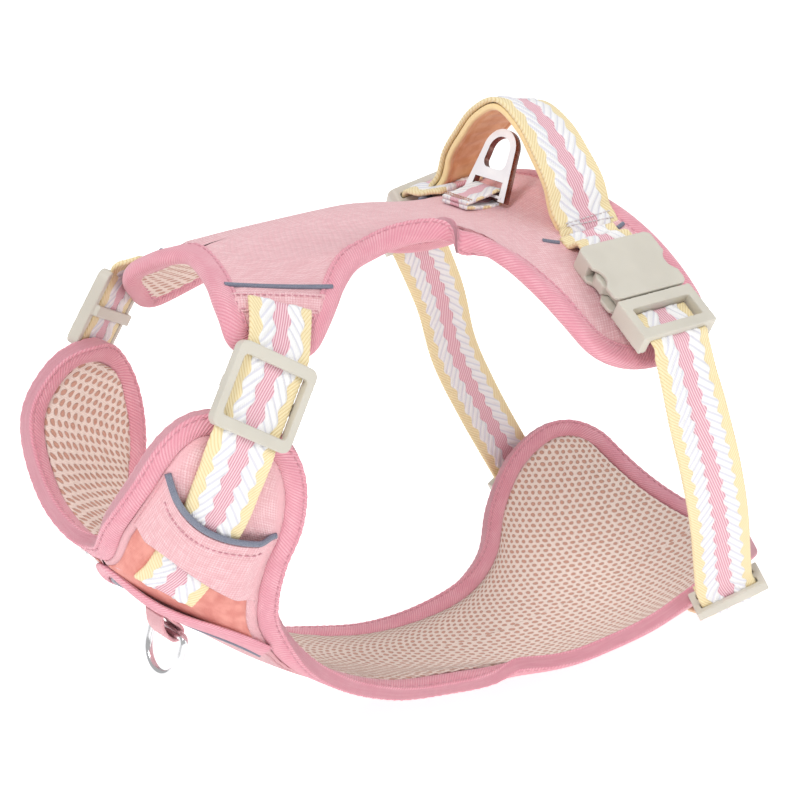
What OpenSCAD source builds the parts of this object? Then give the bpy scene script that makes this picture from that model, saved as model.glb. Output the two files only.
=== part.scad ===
// Dog harness with a padded back panel, a chest-and-belly panel, four webbing straps,
// a grab handle and two leash rings.
// Frame: +Z up, -Y towards the dog's head, +X the dog's left. Origin: middle of the dog's trunk.

/* [Webbing] */
// Width of the webbing
web_w = 25; // [24:0.5:25]
// Thickness of the webbing
web_t = 2; // [1.6:0.1:2.2]

/* [Panels] */
// Thickness of the foam between the fabrics
foam_t = 3; // [2.4:0.1:3.2]
// Thickness of the shell fabric
shell_t = 0.8; // [0.5:0.1:0.9]
// Thickness of the air-mesh lining
lining_t = 1; // [0.6:0.1:1.2]
// Thickness of the edge binding, fabric to fabric
binding_t = 6; // [5.6:0.1:6.2]

/* [Buckles] */
// Width of a side-release buckle
buckle_w = 34; // [34:0.5:36]
// Thickness of a side-release buckle
buckle_t = 9; // [9:0.2:9.6]

/* [Adjusters] */
// Width of an adjuster across the webbing
slider_w = 32; // [31.5:0.5:33]
// Length of a neck adjuster along the webbing
slider_l = 31; // [28:1:32]

/* [Rings] */
// Wire diameter of the front ring
ring_wire = 3.2; // [2.8:0.1:3.4]
// Thickness of the back ring's plate
ring_plate = 3; // [2.6:0.1:3.2]

/* [Hidden] */

fabric_pink = [0.94, 0.70, 0.74];
binding_pink = [0.92, 0.49, 0.60];
lining_cream = [0.94, 0.83, 0.78];
foam_tan = [0.90, 0.66, 0.52];
web_cream = [0.96, 0.90, 0.80];
plastic_cream = [0.88, 0.85, 0.80];
trim_grey = [0.38, 0.40, 0.46];
pad_peach = [0.95, 0.74, 0.52];

gap = 0.15;                       // air between stacked fabric layers
band_w = 4.8;                     // width of the edge binding's solid
band_in = 2.6;                    // edge of a panel to the middle of its binding
layer_in = 5.8;                   // edge of a panel to the edge of its layers
end_pitch = 18;                   // panel length covered by one station at its ends
corner_r = 10.6;                  // corner radius at the very edge
shell_top = foam_t / 2 + gap + shell_t;
over_edge = binding_t / 2 + 0.2;  // lowest height that clears the binding
strap_h = over_edge + web_t / 2;  // middle of a strap that crosses the binding
strap_low = shell_top + web_t / 2 + 0.9;  // middle of a strap that lies on the shell

// ---------- panel outlines: 17 stations from the front end to the rear end ----------
// The neck edge runs left to right through the centre. The ridge is the centre line from
// station 4 on. The left and right edges have their x given positive on both sides.
BACK_NECK = [
    [45, -114, 60], [42, -114, 70], [34, -112, 76], [20, -106, 79], [0, -100, 80],
    [-14, -101, 77], [-26, -101, 72], [-35, -102, 66], [-38, -101, 59]
];
BACK_RIDGE = [
    [0, -100, 80], [0, -78, 81], [0, -50, 81], [0, -22, 80], [0, 0, 77], [0, 15, 74], [0, 27, 72],
    [0, 38, 71], [0, 48, 71], [0, 57, 72], [0, 66, 74], [0, 74, 75], [0, 82, 76]
];
BACK_LEFT = [
    [50, -83, 50], [46, -73, 58], [42, -65, 64], [37, -57, 69], [32, -47, 73], [28, -35, 74],
    [26, -20, 75], [28, -4, 74], [38, 4, 73], [52, 9, 68], [64, 14, 58], [75, 17, 49],
    [82, 25, 37], [87, 37, 30], [90, 53, 28], [89, 71, 30], [84, 87, 40]
];
BACK_RIGHT = [
    [60, -80, 41], [53, -72, 46], [46, -64, 52], [39, -56, 58], [33, -46, 63], [29, -34, 66],
    [26, -20, 66], [28, -4, 65], [36, 5, 61], [46, 13, 55], [55, 21, 48], [62, 28, 42],
    [65, 40, 39], [66, 54, 35], [66, 70, 33], [65, 87, 34], [62, 102, 42]
];
CHEST_NECK = [
    [46, -125, 42], [42, -138, 33], [34, -145, 17], [19, -147, -2], [0, -142, -21],
    [-28, -144, -12], [-45, -141, 13], [-47, -128, 31], [-45, -112, 37]
];
CHEST_RIDGE = [
    [0, -142, -21], [0, -129, -38], [0, -110, -55], [0, -88, -75], [0, -57, -98], [0, -24, -113],
    [0, 10, -122], [0, 45, -127], [0, 78, -128], [0, 109, -127], [0, 138, -124], [0, 167, -119],
    [0, 194, -112]
];
CHEST_LEFT = [
    [57, -101, 30], [55, -94, 11], [50, -92, -8], [43, -94, -25], [36, -93, -42], [30, -88, -58],
    [28, -76, -77], [27, -54, -96], [27, -26, -111], [28, 4, -119], [36, 30, -120], [49, 50, -115],
    [57, 69, -110], [62, 89, -105], [64, 108, -99], [64, 124, -95], [58, 140, -95]
];
CHEST_RIGHT = [
    [56, -97, 27], [54, -92, 8], [52, -92, -10], [48, -97, -27], [38, -96, -44], [31, -89, -58],
    [28, -76, -77], [27, -54, -96], [27, -28, -108], [27, 2, -117], [29, 34, -121], [34, 64, -120],
    [46, 91, -115], [60, 109, -101], [69, 130, -86], [70, 155, -77], [62, 177, -81]
];

// ---------- vector helpers ----------
function unit(v) = v / norm(v);
function flip(p) = [-p[0], p[1], p[2]];
function square_to(v, t) = unit(v - (v * t) * t);
function mix(a, b, t) = a + (b - a) * t;

// Smooth curve through a list of points; t counts points from the first.
function spot(p, t) = let (
    n = len(p) - 1,
    i = min(max(floor(t), 0), n - 1),
    f = t - i,
    b = p[i],
    c = p[i + 1],
    a = i > 0 ? p[i - 1] : 2 * b - c,
    d = i < n - 1 ? p[i + 2] : 2 * c - b
) (2 * b + (c - a) * f + (2 * a - 5 * b + 4 * c - d) * f * f
    + (3 * b - a - 3 * c + d) * f * f * f) / 2;

// Direction of a point list at point i
function run(p, i) = unit(p[min(i + 1, len(p) - 1)] - p[max(i - 1, 0)]);

// ---------- panel surface ----------
// A row crosses the panel from its inner point i to its outer point o, and bulges away from
// the dog. Rows that start on the centre line leave it level, so both halves join smoothly.
function bulge(i, o) = let (q = min(1, abs(i[0]) / 30), t = q * (2 - q))
    i + [(0.66 - 0.06 * t) * (o[0] - i[0]), 0.45 * t * (o[1] - i[1]), 0.4 * t * (o[2] - i[2])];

// A panel is [neck edge, ridge, left edge, right edge], each pulled in by d from the outline.
function neck_pull(neck, ridge, left, right, k) = let (
    p = k > 4 ? flip(neck[k]) : neck[k],
    o = k > 4 ? right[8 - k] : left[k],
    v = square_to(k == 4 ? ridge[1] - ridge[0] : bulge(p, o) - p,
                  k > 4 ? flip(run(neck, k)) : run(neck, k))
) k > 4 ? flip(v) : v;
function edge_pull(neck, ridge, edge, side, k) = let (
    i = k < 4 ? (side > 0 ? neck[k] : flip(neck[8 - k])) : ridge[k - 4]
) square_to(bulge(i, edge[k]) - edge[k], run(edge, k));
function panel(neck, ridge, left, right, d) = let (
    n = [for (k = [0:8]) neck[k] + d * neck_pull(neck, ridge, left, right, k)]
) [
    n,
    [for (k = [0:12]) k == 0 ? n[4] : ridge[k]],
    [for (k = [0:16]) left[k] + d * edge_pull(neck, ridge, left, 1, k)],
    [for (k = [0:16]) right[k] + d * edge_pull(neck, ridge, right, -1, k)]
];
function inner(p, side, s) =
    s >= 4 ? spot(p[1], s - 4) : side > 0 ? spot(p[0], s) : flip(spot(p[0], 8 - s));
function outer(p, side, s) = spot(p[side > 0 ? 2 : 3], s);

// Point of a panel: side 1 is left and -1 right, s the station, w from inner 0 to outer 1
function at(p, side, s, w) = let (
    i = inner(p, side, s),
    o = outer(p, side, s),
    m = bulge(i, o),
    q = (1 - w) * (1 - w) * i + 2 * w * (1 - w) * m + w * w * o
) side > 0 ? q : flip(q);

// Unit normal away from the dog; out is 1 for the back panel and -1 for the chest panel
function away(p, out, side, s, w) = let (
    along = at(p, side, min(s + 0.5, 16), w) - at(p, side, max(s - 0.5, 0), w),
    across = at(p, side, s, w + 0.05) - at(p, side, s, w - 0.05)
) out * side * unit(cross(across, along));
function lift(p, out, side, s, w, h) = at(p, side, s, w) + h * away(p, out, side, s, w);

BACK = panel(BACK_NECK, BACK_RIDGE, BACK_LEFT, BACK_RIGHT, layer_in);
BACK_EDGE = panel(BACK_NECK, BACK_RIDGE, BACK_LEFT, BACK_RIGHT, band_in);
CHEST = panel(CHEST_NECK, CHEST_RIDGE, CHEST_LEFT, CHEST_RIGHT, layer_in);
CHEST_EDGE = panel(CHEST_NECK, CHEST_RIDGE, CHEST_LEFT, CHEST_RIGHT, band_in);

// Rows of a panel's mesh: [station, outer corner cut, inner corner cut] with round corners
turns = [0, 30, 60];
front_rows = 6;
rear_rows = 20;
join_row = len(turns) + front_rows;
function rows(d) = let (
    r = corner_r - d,
    a = (d + r) / end_pitch,
    b = 16 - a
) concat(
    [for (t = turns) [(d + r * (1 - cos(t))) / end_pitch, r * (1 - sin(t)), r * (1 - sin(t))]],
    [for (i = [0:front_rows - 1]) [mix(a, 4, i / front_rows), 0, 0]],
    [for (i = [0:rear_rows]) [mix(4, b, i / rear_rows), 0, 0]],
    [for (t = [60, 30, 0]) [16 - (d + r * (1 - cos(t))) / end_pitch, r * (1 - sin(t)), 0]]
);
function w_high(p, side, row) = let (i = inner(p, side, row[0]), o = outer(p, side, row[0]))
    1 - row[1] / (2 * norm(o - bulge(i, o)));
function w_low(p, side, row) = row[2] == 0 ? 0 :
    let (i = inner(p, side, row[0]), o = outer(p, side, row[0])) row[2] / (2 * norm(bulge(i, o) - i));

// ---------- solids from points ----------
function signed(p, f) = [for (t = f) p[t[0]] * cross(p[t[1]], p[t[2]])] * [for (t = f) 1];
module solid(points, faces) {
    polyhedron(points, signed(points, faces) < 0 ? faces : [for (f = faces) [f[0], f[2], f[1]]]);
}
function quad(a, b, c, d) = [[a, b, c], [a, c, d]];

// One layer of a panel between heights h0 and h1
cols = 6;
module layer(p, out, h0, h1) {
    list = rows(layer_in);
    n = len(list);
    k = 2 * cols + 2;
    points = [
        for (h = [h0, h1]) for (r = list) for (j = [0:k - 1])
            let (
                side = j <= cols ? -1 : 1,
                f = (j <= cols ? cols - j : j - cols - 1) / cols,
                w = mix(w_low(p, side, r), w_high(p, side, r), f)
            ) lift(p, out, side, r[0], w, h)
    ];
    function id(l, r, j) = (l * n + r) * k + (r >= join_row && j == cols + 1 ? cols : j);
    wall = concat(
        [for (r = [0:n - 2]) [[r + 1, 0], [r, 0]]],
        [for (r = [0:n - 2]) [[r, k - 1], [r + 1, k - 1]]],
        [for (j = [0:k - 2]) if (j != cols) [[0, j], [0, j + 1]]],
        [for (j = [0:k - 2]) if (j != cols) [[n - 1, j + 1], [n - 1, j]]],
        [for (r = [0:join_row - 1]) [[r, cols], [r + 1, cols]]],
        [for (r = [0:join_row - 1]) [[r + 1, cols + 1], [r, cols + 1]]]
    );
    faces = concat(
        [for (r = [0:n - 2]) for (j = [0:k - 2]) if (j != cols)
            each quad(id(1, r, j), id(1, r, j + 1), id(1, r + 1, j + 1), id(1, r + 1, j))],
        [for (r = [0:n - 2]) for (j = [0:k - 2]) if (j != cols)
            each quad(id(0, r, j), id(0, r + 1, j), id(0, r + 1, j + 1), id(0, r, j + 1))],
        [for (e = wall) each quad(
            id(1, e[1][0], e[1][1]), id(1, e[0][0], e[0][1]),
            id(0, e[0][0], e[0][1]), id(0, e[1][0], e[1][1]))]
    );
    solid(points, faces);
}

// Solid through rings of points, each ring with the same number of points
module loft(rings, closed = false) {
    n = len(rings);
    k = len(rings[0]);
    faces = concat(
        [for (i = [0:n - (closed ? 1 : 2)]) for (j = [0:k - 1])
            let (a = i * k, b = ((i + 1) % n) * k, c = (j + 1) % k) each quad(a + j, a + c, b + c, b + j)],
        closed ? [] : [for (j = [1:k - 2]) [0, j + 1, j]],
        closed ? [] : [for (j = [1:k - 2]) let (e = (n - 1) * k) [e, e + j, e + j + 1]]
    );
    solid([for (r = rings) each r], faces);
}

// Edge binding: a rounded band that follows the panel's outline
function outline(p) = let (list = rows(band_in), n = len(list)) concat(
    [for (r = list) [1, r[0], w_high(p, 1, r)]],
    [for (f = [0.75, 0.5, 0.25]) [1, list[n - 1][0], f * w_high(p, 1, list[n - 1])]],
    [for (f = [0, 0.25, 0.5, 0.75]) [-1, list[n - 1][0], f * w_high(p, -1, list[n - 1])]],
    [for (i = [n - 1:-1:0]) [-1, list[i][0], w_high(p, -1, list[i])]],
    [[-1, list[0][0], 0.5]],
    [for (i = [0:join_row - 1]) [-1, list[i][0], w_low(p, -1, list[i])]],
    [for (i = [join_row:-1:0]) [1, list[i][0], w_low(p, 1, list[i])]],
    [[1, list[0][0], 0.5]]
);
module binding(p, out) {
    path = outline(p);
    n = len(path);
    points = [for (q = path) at(p, q[0], q[1], q[2])];
    a = band_w / 2;
    h = binding_t / 2;
    section = [[a, h * 0.6], [a * 0.6, h], [-a * 0.6, h], [-a, h * 0.6],
               [-a, -h * 0.6], [-a * 0.6, -h], [a * 0.6, -h], [a, -h * 0.6]];
    rings = [
        for (i = [0:n - 1]) let (
            t = unit(points[(i + 1) % n] - points[(i + n - 1) % n]),
            up = square_to(away(p, out, path[i][0], path[i][1], path[i][2]), t),
            in = cross(up, t)
        ) [for (c = section) points[i] + c[0] * in + c[1] * up]
    ];
    loft(rings, closed = true);
}

// Sheet of fabric over a panel; grid is a list of rows of [point, normal, height]
module patch(grid, t) {
    n = len(grid);
    k = len(grid[0]);
    rings = [for (r = grid) concat(
        [for (c = r) c[0] + c[1] * c[2]],
        [for (j = [k - 1:-1:0]) r[j][0] + r[j][1] * (r[j][2] + t)]
    )];
    strip(rings, k);
}
module strip(rings, k) {
    n = len(rings);
    m = 2 * k;
    faces = concat(
        [for (i = [0:n - 2]) for (j = [0:m - 1])
            each quad(i * m + j, i * m + (j + 1) % m, (i + 1) * m + (j + 1) % m, (i + 1) * m + j)],
        [for (j = [0:k - 2]) each quad(j, m - 1 - j, m - 2 - j, j + 1)],
        [for (j = [0:k - 2]) let (e = (n - 1) * m)
            each quad(e + j, e + j + 1, e + m - 2 - j, e + m - 1 - j)]
    );
    solid([for (r = rings) each r], faces);
}

// Flat webbing along points, with the direction of its width at each point
module ribbon(path, width_dir, w, t) {
    n = len(path);
    rings = [
        for (i = [0:n - 1]) let (
            go = run(path, i),
            s = square_to(width_dir[i], go),
            up = cross(go, s)
        ) [path[i] + s * w / 2 + up * t / 2, path[i] - s * w / 2 + up * t / 2,
           path[i] - s * w / 2 - up * t / 2, path[i] + s * w / 2 - up * t / 2]
    ];
    loft(rings);
}

// Puts children at origin o, with local y along dir_y and local z near dir_z
module place(o, dir_y, dir_z) {
    y = unit(dir_y);
    z = square_to(dir_z, y);
    x = cross(y, z);
    multmatrix([[x[0], y[0], z[0], o[0]], [x[1], y[1], z[1], o[1]], [x[2], y[2], z[2], o[2]], [0, 0, 0, 1]])
        children();
}
module box(x0, x1, y0, y1, z0, z1) {
    translate([x0, y0, z0]) cube([x1 - x0, y1 - y0, z1 - z0]);
}

// ---------- places of the hardware (side 1 is left, -1 is right) ----------
eps = 0.02;                       // overlap that joins touching solids into one
clear = 0.35;                     // running clearance between moving pieces

// Neck straps: station 0 of both panels faces its counterpart across a short free gap
neck_h = strap_h + 1.4;
function tab_end(side) = lift(BACK, 1, side, 0, 0.5, neck_h);
function wing_end(side) = lift(CHEST, -1, side, 0, 0.5, neck_h);
function neck_mid(side) = (tab_end(side) + wing_end(side)) / 2;
function neck_way(side) = unit(tab_end(side) - wing_end(side));
function neck_across(side) =
    square_to(row_dir(BACK, side, 0, 0.5) + row_dir(CHEST, side, 0, 0.5), neck_way(side));
function wing_h(side) = side > 0 ? 3.7 : 5.7;   // the right wing is rounder, so its strap stands higher
function row_dir(p, side, s, w) = at(p, side, s, w + 0.1) - at(p, side, s, w - 0.1);
function station_dir(p, side, s, w) = at(p, side, s + 0.5, w) - at(p, side, s - 0.5, w);

// Buckles: top end, bottom end and the way their face looks
function buckle_top(side) = side > 0 ? [59, 55, 67.5] : [-49, 57, 68.5];
function buckle_foot(side) = side > 0 ? [101, 50, 43.5] : [-80, 76, 34];
function buckle_face(side) = side > 0 ? [0.46, -0.1, 0.88] : [-0.84, 0.1, 0.52];
function buckle_mid(side) = (buckle_top(side) + buckle_foot(side)) / 2;
function buckle_way(side) = unit(buckle_foot(side) - buckle_top(side));

// Girth adjusters: place, the way up along the webbing, and the way their face looks
function girth_low(side) = side > 0 ? [82, 113, -93] : [-80, 141, -97];
function girth_up(side) = side > 0 ? unit([-0.02, -0.51, 0.85]) : unit([-0.16, -0.46, 0.87]);
function girth_face(side) = square_to(side > 0 ? [0.85, -0.5, -0.17] : [-0.88, 0.2, -0.3], girth_up(side));

// Handle: half of its centre line, from the sewn end to the top
HANDLE = [[36, 62, 76], [32, 62, 86], [25, 62, 95], [14, 62, 106], [0, 62, 112]];

// Rings: the middle of each ring's bar and the way the ring points
BACK_BAR = [0, 45, 77];
BACK_LEAN = unit([0, 0.43, 0.9]);
FRONT_BAR = [0, -114, -63.5];
FRONT_HANG = unit([0, -0.3, -0.95]);

// ---------- panels ----------
module panel_shell(p, out) { color(fabric_pink) layer(p, out, foam_t / 2 + gap, shell_top); }
module panel_foam(p, out) { color(foam_tan) layer(p, out, -foam_t / 2, foam_t / 2); }
module panel_lining(p, out) {
    color(lining_cream) layer(p, out, -foam_t / 2 - gap - lining_t, -foam_t / 2 - gap);
}

// ---------- patches and pipings on the panels ----------
patch_t = 0.6;
on_shell = shell_top + 0.1;
module shoulder_patch(side) {
    color(fabric_pink) patch([
        for (s = [1.35:0.15:2.1]) [
            for (w = [0.06:0.11:0.94])
                [at(BACK, side, s, w), away(BACK, 1, side, s, w), on_shell]
        ]
    ], patch_t);
}

// Thin tube that lies on a panel, through points [s, w]
module piping(p, out, side, list, r, h) {
    points = [for (q = list) lift(p, out, side, q[0], q[1], h)];
    rings = [
        for (i = [0:len(list) - 1]) let (
            go = run(points, i),
            up = square_to(away(p, out, side, list[i][0], list[i][1]), go),
            in = cross(up, go)
        ) [for (a = [0:60:300]) points[i] + r * (cos(a) * in + sin(a) * up)]
    ];
    loft(rings);
}
module shoulder_piping(side) {
    color(trim_grey) piping(BACK, 1, side, [for (w = [0.02:0.12:0.98]) [2.45 - 0.25 * w * (1 - w), w]], 0.7,
        on_shell + 0.75);
}
module rear_piping(side) {
    // one run on each side of the webbing
    color(trim_grey) piping(BACK, 1, side, [for (s = [10.6:0.4:11.8]) [s, 0.46]], 0.7, on_shell + 0.75);
    color(trim_grey) piping(BACK, 1, side, [for (s = [15.1:0.2:15.5]) [s, 0.46]], 0.7, on_shell + 0.75);
}

// ---------- neck straps and their adjusters ----------
module neck_strap(side) {
    tab = [[1.3, strap_h], [0.8, strap_h + 0.4]];
    wing = [[0.8, strap_h + 0.4], [1.4, wing_h(side)], for (s = [2:0.55:4.2]) [s, wing_h(side)]];
    reach = slider_l / 2 + 1;
    path = concat(
        [for (q = tab) lift(BACK, 1, side, q[0], 0.5, q[1])],
        [for (d = [reach, 0, -reach]) neck_mid(side) + d * neck_way(side)],
        [for (q = wing) lift(CHEST, -1, side, q[0], 0.5, q[1])]
    );
    dirs = concat(
        [for (q = tab) row_dir(BACK, side, q[0], 0.5)],
        [for (d = [0:2]) neck_across(side)],
        [for (q = wing) row_dir(CHEST, side, q[0], 0.5)]
    );
    color(web_cream) ribbon(path, dirs, web_w, web_t);
}

bar_t = 2.6;                      // thickness of an adjuster's bars
web_gap = web_t / 2 + 0.4;        // middle of the webbing to a bar that runs past it
rail_x = web_w / 2 + 0.6;         // inner face of an adjuster's side rails
end_bar = 4.5;                    // width of a neck adjuster's end bars
under_bar = 1.6;                  // thickness of its bar under the webbing
module neck_slider(side) {
    face = side * cross(neck_across(side), neck_way(side));
    color(plastic_cream) place(neck_mid(side), neck_way(side), face) {
        x = slider_w / 2;
        y = slider_l / 2;
        difference() {
            translate([0, -y, -0.8]) rounded(slider_w, slider_l, 0.8 + web_gap + bar_t, 3.2);
            // window between the end bars
            translate([0, -y + end_bar, -2]) rounded(2 * rail_x, slider_l - 2 * end_bar, 12, 1.4);
            // room for the webbing under the end bars
            box(-rail_x, rail_x, -y - 1, y + 1, -2, web_gap);
        }
        // bar under the webbing
        box(-x + 0.8, x - 0.8, -2.2, 2.2, -web_gap - under_bar, -web_gap);
        for (m = [-1, 1]) scale([m, 1, 1]) box(rail_x, x - 0.8, -2.2, 2.2, -web_gap - eps, 0);
    }
}

// ---------- pockets on the chest wings ----------
function pocket_top(w) = 1.5 + 0.7 * w + 2.2 * w * (1 - w);
function pocket_foot(w) = 3 + 1.2 * w;
function pocket_h(side, w) = shell_top + 0.1 + (wing_h(side) - 0.7) * min(1, min(w, 1 - w) / 0.17);
pocket_w = [0.02, 0.1, 0.18, 0.34, 0.5, 0.66, 0.82, 0.9, 0.98];
module pocket(side) {
    color(fabric_pink) patch([
        for (f = [0:0.125:1]) [
            for (w = pocket_w) let (s = mix(pocket_top(w) + 0.12, pocket_foot(w), f))
                [at(CHEST, side, s, w), away(CHEST, -1, side, s, w), pocket_h(side, w)]
        ]
    ], patch_t);
}
module pocket_trim(side) {
    points = [
        for (w = pocket_w) lift(CHEST, -1, side, pocket_top(w) - 0.02, w, pocket_h(side, w) + patch_t / 2)
    ];
    rings = [
        for (i = [0:len(pocket_w) - 1]) let (
            go = run(points, i),
            up = square_to(away(CHEST, -1, side, pocket_top(pocket_w[i]), pocket_w[i]), go),
            in = cross(up, go)
        ) [for (a = [0:60:300]) points[i] + 1.1 * (cos(a) * in + 0.8 * sin(a) * up)]
    ];
    color(trim_grey) loft(rings);
}

// ---------- front cover: a fabric flap that hides the ends of the neck straps ----------
cover_foot = 7.6;
function cover_top(w) = 4.3 + 1.15 * w;
function cover_h(s, w) =
    shell_top + 0.1 + 3 * pow(sin(180 * w), 2) * max(0, min(1, 1 - (s - cover_top(w)) / 1.5));
cover_w = [0, 0.12, 0.25, 0.4, 0.55, 0.7, 0.85, 0.98];
function cover_cols() = concat(
    [for (i = [len(cover_w) - 1:-1:1]) [-1, cover_w[i]]],
    [for (w = cover_w) [1, w]]
);
module front_cover() {
    color(fabric_pink) patch([
        for (f = [0:0.1:1]) [
            for (c = cover_cols()) let (s = mix(cover_top(c[1]) + 0.25, cover_foot, f))
                [at(CHEST, c[0], s, c[1]), away(CHEST, -1, c[0], s, c[1]), cover_h(s, c[1])]
        ]
    ], patch_t);
}
module cover_binding() {
    list = cover_cols();
    points = [
        for (c = list) lift(CHEST, -1, c[0], cover_top(c[1]), c[1], cover_h(cover_top(c[1]), c[1]) + 1.2)
    ];
    rings = [
        for (i = [0:len(list) - 1]) let (
            go = run(points, i),
            up = square_to(away(CHEST, -1, list[i][0], cover_top(list[i][1]), list[i][1]), go),
            in = cross(up, go)
        ) [for (a = [0:45:315]) points[i] + 2.3 * cos(a) * in + 1.15 * sin(a) * up]
    ];
    color(binding_pink) loft(rings);
}

// ---------- side-release buckles ----------
// Local y runs from the handle (-24) down to the girth strap (24); local z looks outwards.
plate_t = 1.8;
mouth = 4;                        // socket ends here
module at_buckle(side) { place(buckle_mid(side), buckle_way(side), buckle_face(side)) children(); }
module rounded(w, l, t, r) {
    hull() for (x = [-1, 1]) for (y = [0, 1])
        translate([x * (w / 2 - r), y == 0 ? r : l - r, 0]) cylinder(h = t, r = r, $fn = 24);
}
module buckle_socket(side) {
    h = buckle_t / 2;
    color(plastic_cream) at_buckle(side) difference() {
        translate([0, -24, -h]) rounded(buckle_w, 24 + mouth, buckle_t, 3);
        // cavity for the plug's arms, open at the mouth and at both sides
        box(-buckle_w, buckle_w, -15, mouth + 1, -h + plate_t, h - plate_t);
        // slot that holds the end of the webbing
        box(-web_w / 2 - 0.5, web_w / 2 + 0.5, -25, -18, -web_t / 2 - 0.3, web_t / 2 + 0.3);
        // finger cut-outs over the arms
        for (m = [-1, 1]) translate([m * (buckle_w / 2 + 3.5), -8, -h - 1])
            cylinder(h = buckle_t + 2, r = 6, $fn = 32);
    }
    // guide rib between the plates
    color(plastic_cream) at_buckle(side) box(-1.2, 1.2, -16, -2, -h + plate_t - eps, h - plate_t + eps);
}
module buckle_plug(side) {
    h = buckle_t / 2;
    x = buckle_w / 2;
    rail = web_w / 2 + 0.8;
    color(plastic_cream) at_buckle(side) {
        box(-x, x, mouth + 0.8, mouth + 5.8, -h, h);
        for (m = [-1, 1]) scale([m, 1, 1]) box(rail, x, mouth + 5.8 - eps, 24, -h, h);
        // bar under the webbing, then the round bar over it
        box(-rail - eps, rail + eps, 12.5, 15.5, -h, -web_gap);
        box(-rail - eps, rail + eps, 19.5, 24, web_gap, h);
        // centre guide, split round the socket's rib
        for (m = [-1, 1]) scale([m, 1, 1]) box(1.7, 4, -10, mouth + 0.8 + eps, -1.6, 1.6);
    }
}
// Spring arms: each turns a little about its root when it is squeezed
module buckle_arm(side, m) {
    z = buckle_t / 2 - plate_t - clear;
    color(plastic_cream) at_buckle(side) scale([m, 1, 1]) translate([0, 0, -z])
        linear_extrude(2 * z)
            polygon([[9.6, mouth + 0.4], [9.6, -6], [11, -13], [14, -13.6], [16.6, -10], [16.4, -5],
                     [13.4, -3.4], [13, mouth + 0.4]]);
}

// ---------- webbing from the handle to each buckle ----------
module socket_tab(side) {
    y = buckle_way(side);
    o = buckle_mid(side);
    on_panel = [0.3, 0.38, 0.46];
    off_panel = side > 0 ? [29, 24, 18.3] : [25, 20.3];
    row = side > 0 ? 13.4 : 12.7;
    path = concat(
        [for (w = on_panel) lift(BACK, 1, side, row, w, strap_low + (side > 0 ? 0.15 : 1.2))],
        [for (d = off_panel) o - d * y]
    );
    dirs = concat(
        [for (w = on_panel) station_dir(BACK, side, row, w)],
        [for (d = off_panel) side * cross(buckle_face(side), y)]
    );
    color(web_cream) ribbon(path, dirs, web_w, web_t);
}

// ---------- girth straps ----------
turn_r = 2.7;                     // radius of the webbing's turn under the adjuster
turn_y = -4;                      // the turn starts this far below the adjuster
straight = 12;                    // straight webbing above the turn
function girth_mid(side) = side > 0 ?
    [[103, 57, 21], [101, 65, 5], [97, 78, -20], [91, 92, -48]] :
    [[-86, 96, 0], [-88, 107, -30], [-86.5, 122, -60]];
module girth_strap(side) {
    yb = buckle_way(side);
    xb = cross(yb, square_to(buckle_face(side), yb));
    up = girth_up(side);
    face = girth_face(side);
    xs = cross(-up, face);
    o = girth_low(side);
    high = o + (turn_y + straight) * up;
    below = [buckle_mid(side) + 18 * yb, buckle_mid(side) + 25.5 * yb];
    bend = concat(below, girth_mid(side), [high, o + turn_y * up]);
    m = len(bend) - 1;
    steps = 5;
    free = [for (i = [0:(m - 2) * steps]) spot([for (j = [1:m]) bend[j]], i / steps)];
    bow = [for (a = [30:30:180]) o + turn_y * up - turn_r * (1 - cos(a)) * face - turn_r * sin(a) * up];
    back = [o + (turn_y + straight) * up - 2 * turn_r * face];
    held = [buckle_mid(side) + 10.5 * yb, buckle_mid(side) + 17 * yb];
    path = concat(held, free, [o + turn_y * up], bow, back);
    f = len(free);
    dirs = [
        for (i = [0:len(path) - 1]) i < 2 ? xb : i >= f + 1 ? xs :
            let (t = (i - 2) / (f - 2)) mix(xb, xs, t * t * (3 - 2 * t))
    ];
    color(web_cream) ribbon(path, dirs, web_w, web_t);
}
module girth_slider(side) {
    x = slider_w / 2;
    y = 2.3;
    inner_z = -2 * turn_r;
    color(plastic_cream) place(girth_low(side), girth_up(side), girth_face(side)) difference() {
        box(-x, x, -y, y, inner_z - web_gap - bar_t, web_gap + bar_t);
        for (z = [0, inner_z]) box(-rail_x, rail_x, -y - 1, y + 1, z - web_gap, z + web_gap);
    }
}
module belly_tab(side) {
    up = girth_up(side);
    face = girth_face(side);
    s = side > 0 ? 14.6 : 14;
    on_panel = [0.45, 0.6, 0.74];
    top = girth_low(side) + (turn_y - 2) * up - (2 * turn_r + web_t + 0.6) * face;
    path = concat(
        [for (w = on_panel) lift(CHEST, -1, side, s, w, strap_h + 0.8)],
        [top - 4 * up + 2 * side * [-1, 0, 0], top]
    );
    dirs = concat(
        [for (w = on_panel) side * station_dir(CHEST, side, s, w)],
        [for (i = [0, 1]) cross(up, face)]
    );
    color(web_cream) ribbon(path, dirs, web_w - 3, web_t);
}

// ---------- handle ----------
pad_t = 2.6;
handle_turn = 0.2;                // how far the legs turn outwards and the top turns backwards
function handle_point(t, inside) = let (
    whole = concat(HANDLE, [for (i = [len(HANDLE) - 2:-1:0]) flip(HANDLE[i])]),
    p = spot(whole, t),
    go = unit(spot(whole, t + 0.05) - spot(whole, t - 0.05)),
    side = square_to([handle_turn * p[0] / 40, 1, -handle_turn * (p[2] - 52) / 60], go)
) [p + inside * cross(go, side), side];
module handle_layer(inside, w, t, from) {
    last = 2 * len(HANDLE) - 2;
    list = [for (i = [from:0.2:last - from + 0.01]) handle_point(i, inside)];
    ribbon([for (q = list) q[0]], [for (q = list) q[1]], w, t);
}
module handle_webbing() { color(web_cream) handle_layer(0, web_w + 3, web_t, 0); }
module handle_pad() { color(pad_peach) handle_layer(web_t / 2 + 0.35 + pad_t / 2, web_w + 1, pad_t, 0.4); }

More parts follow.
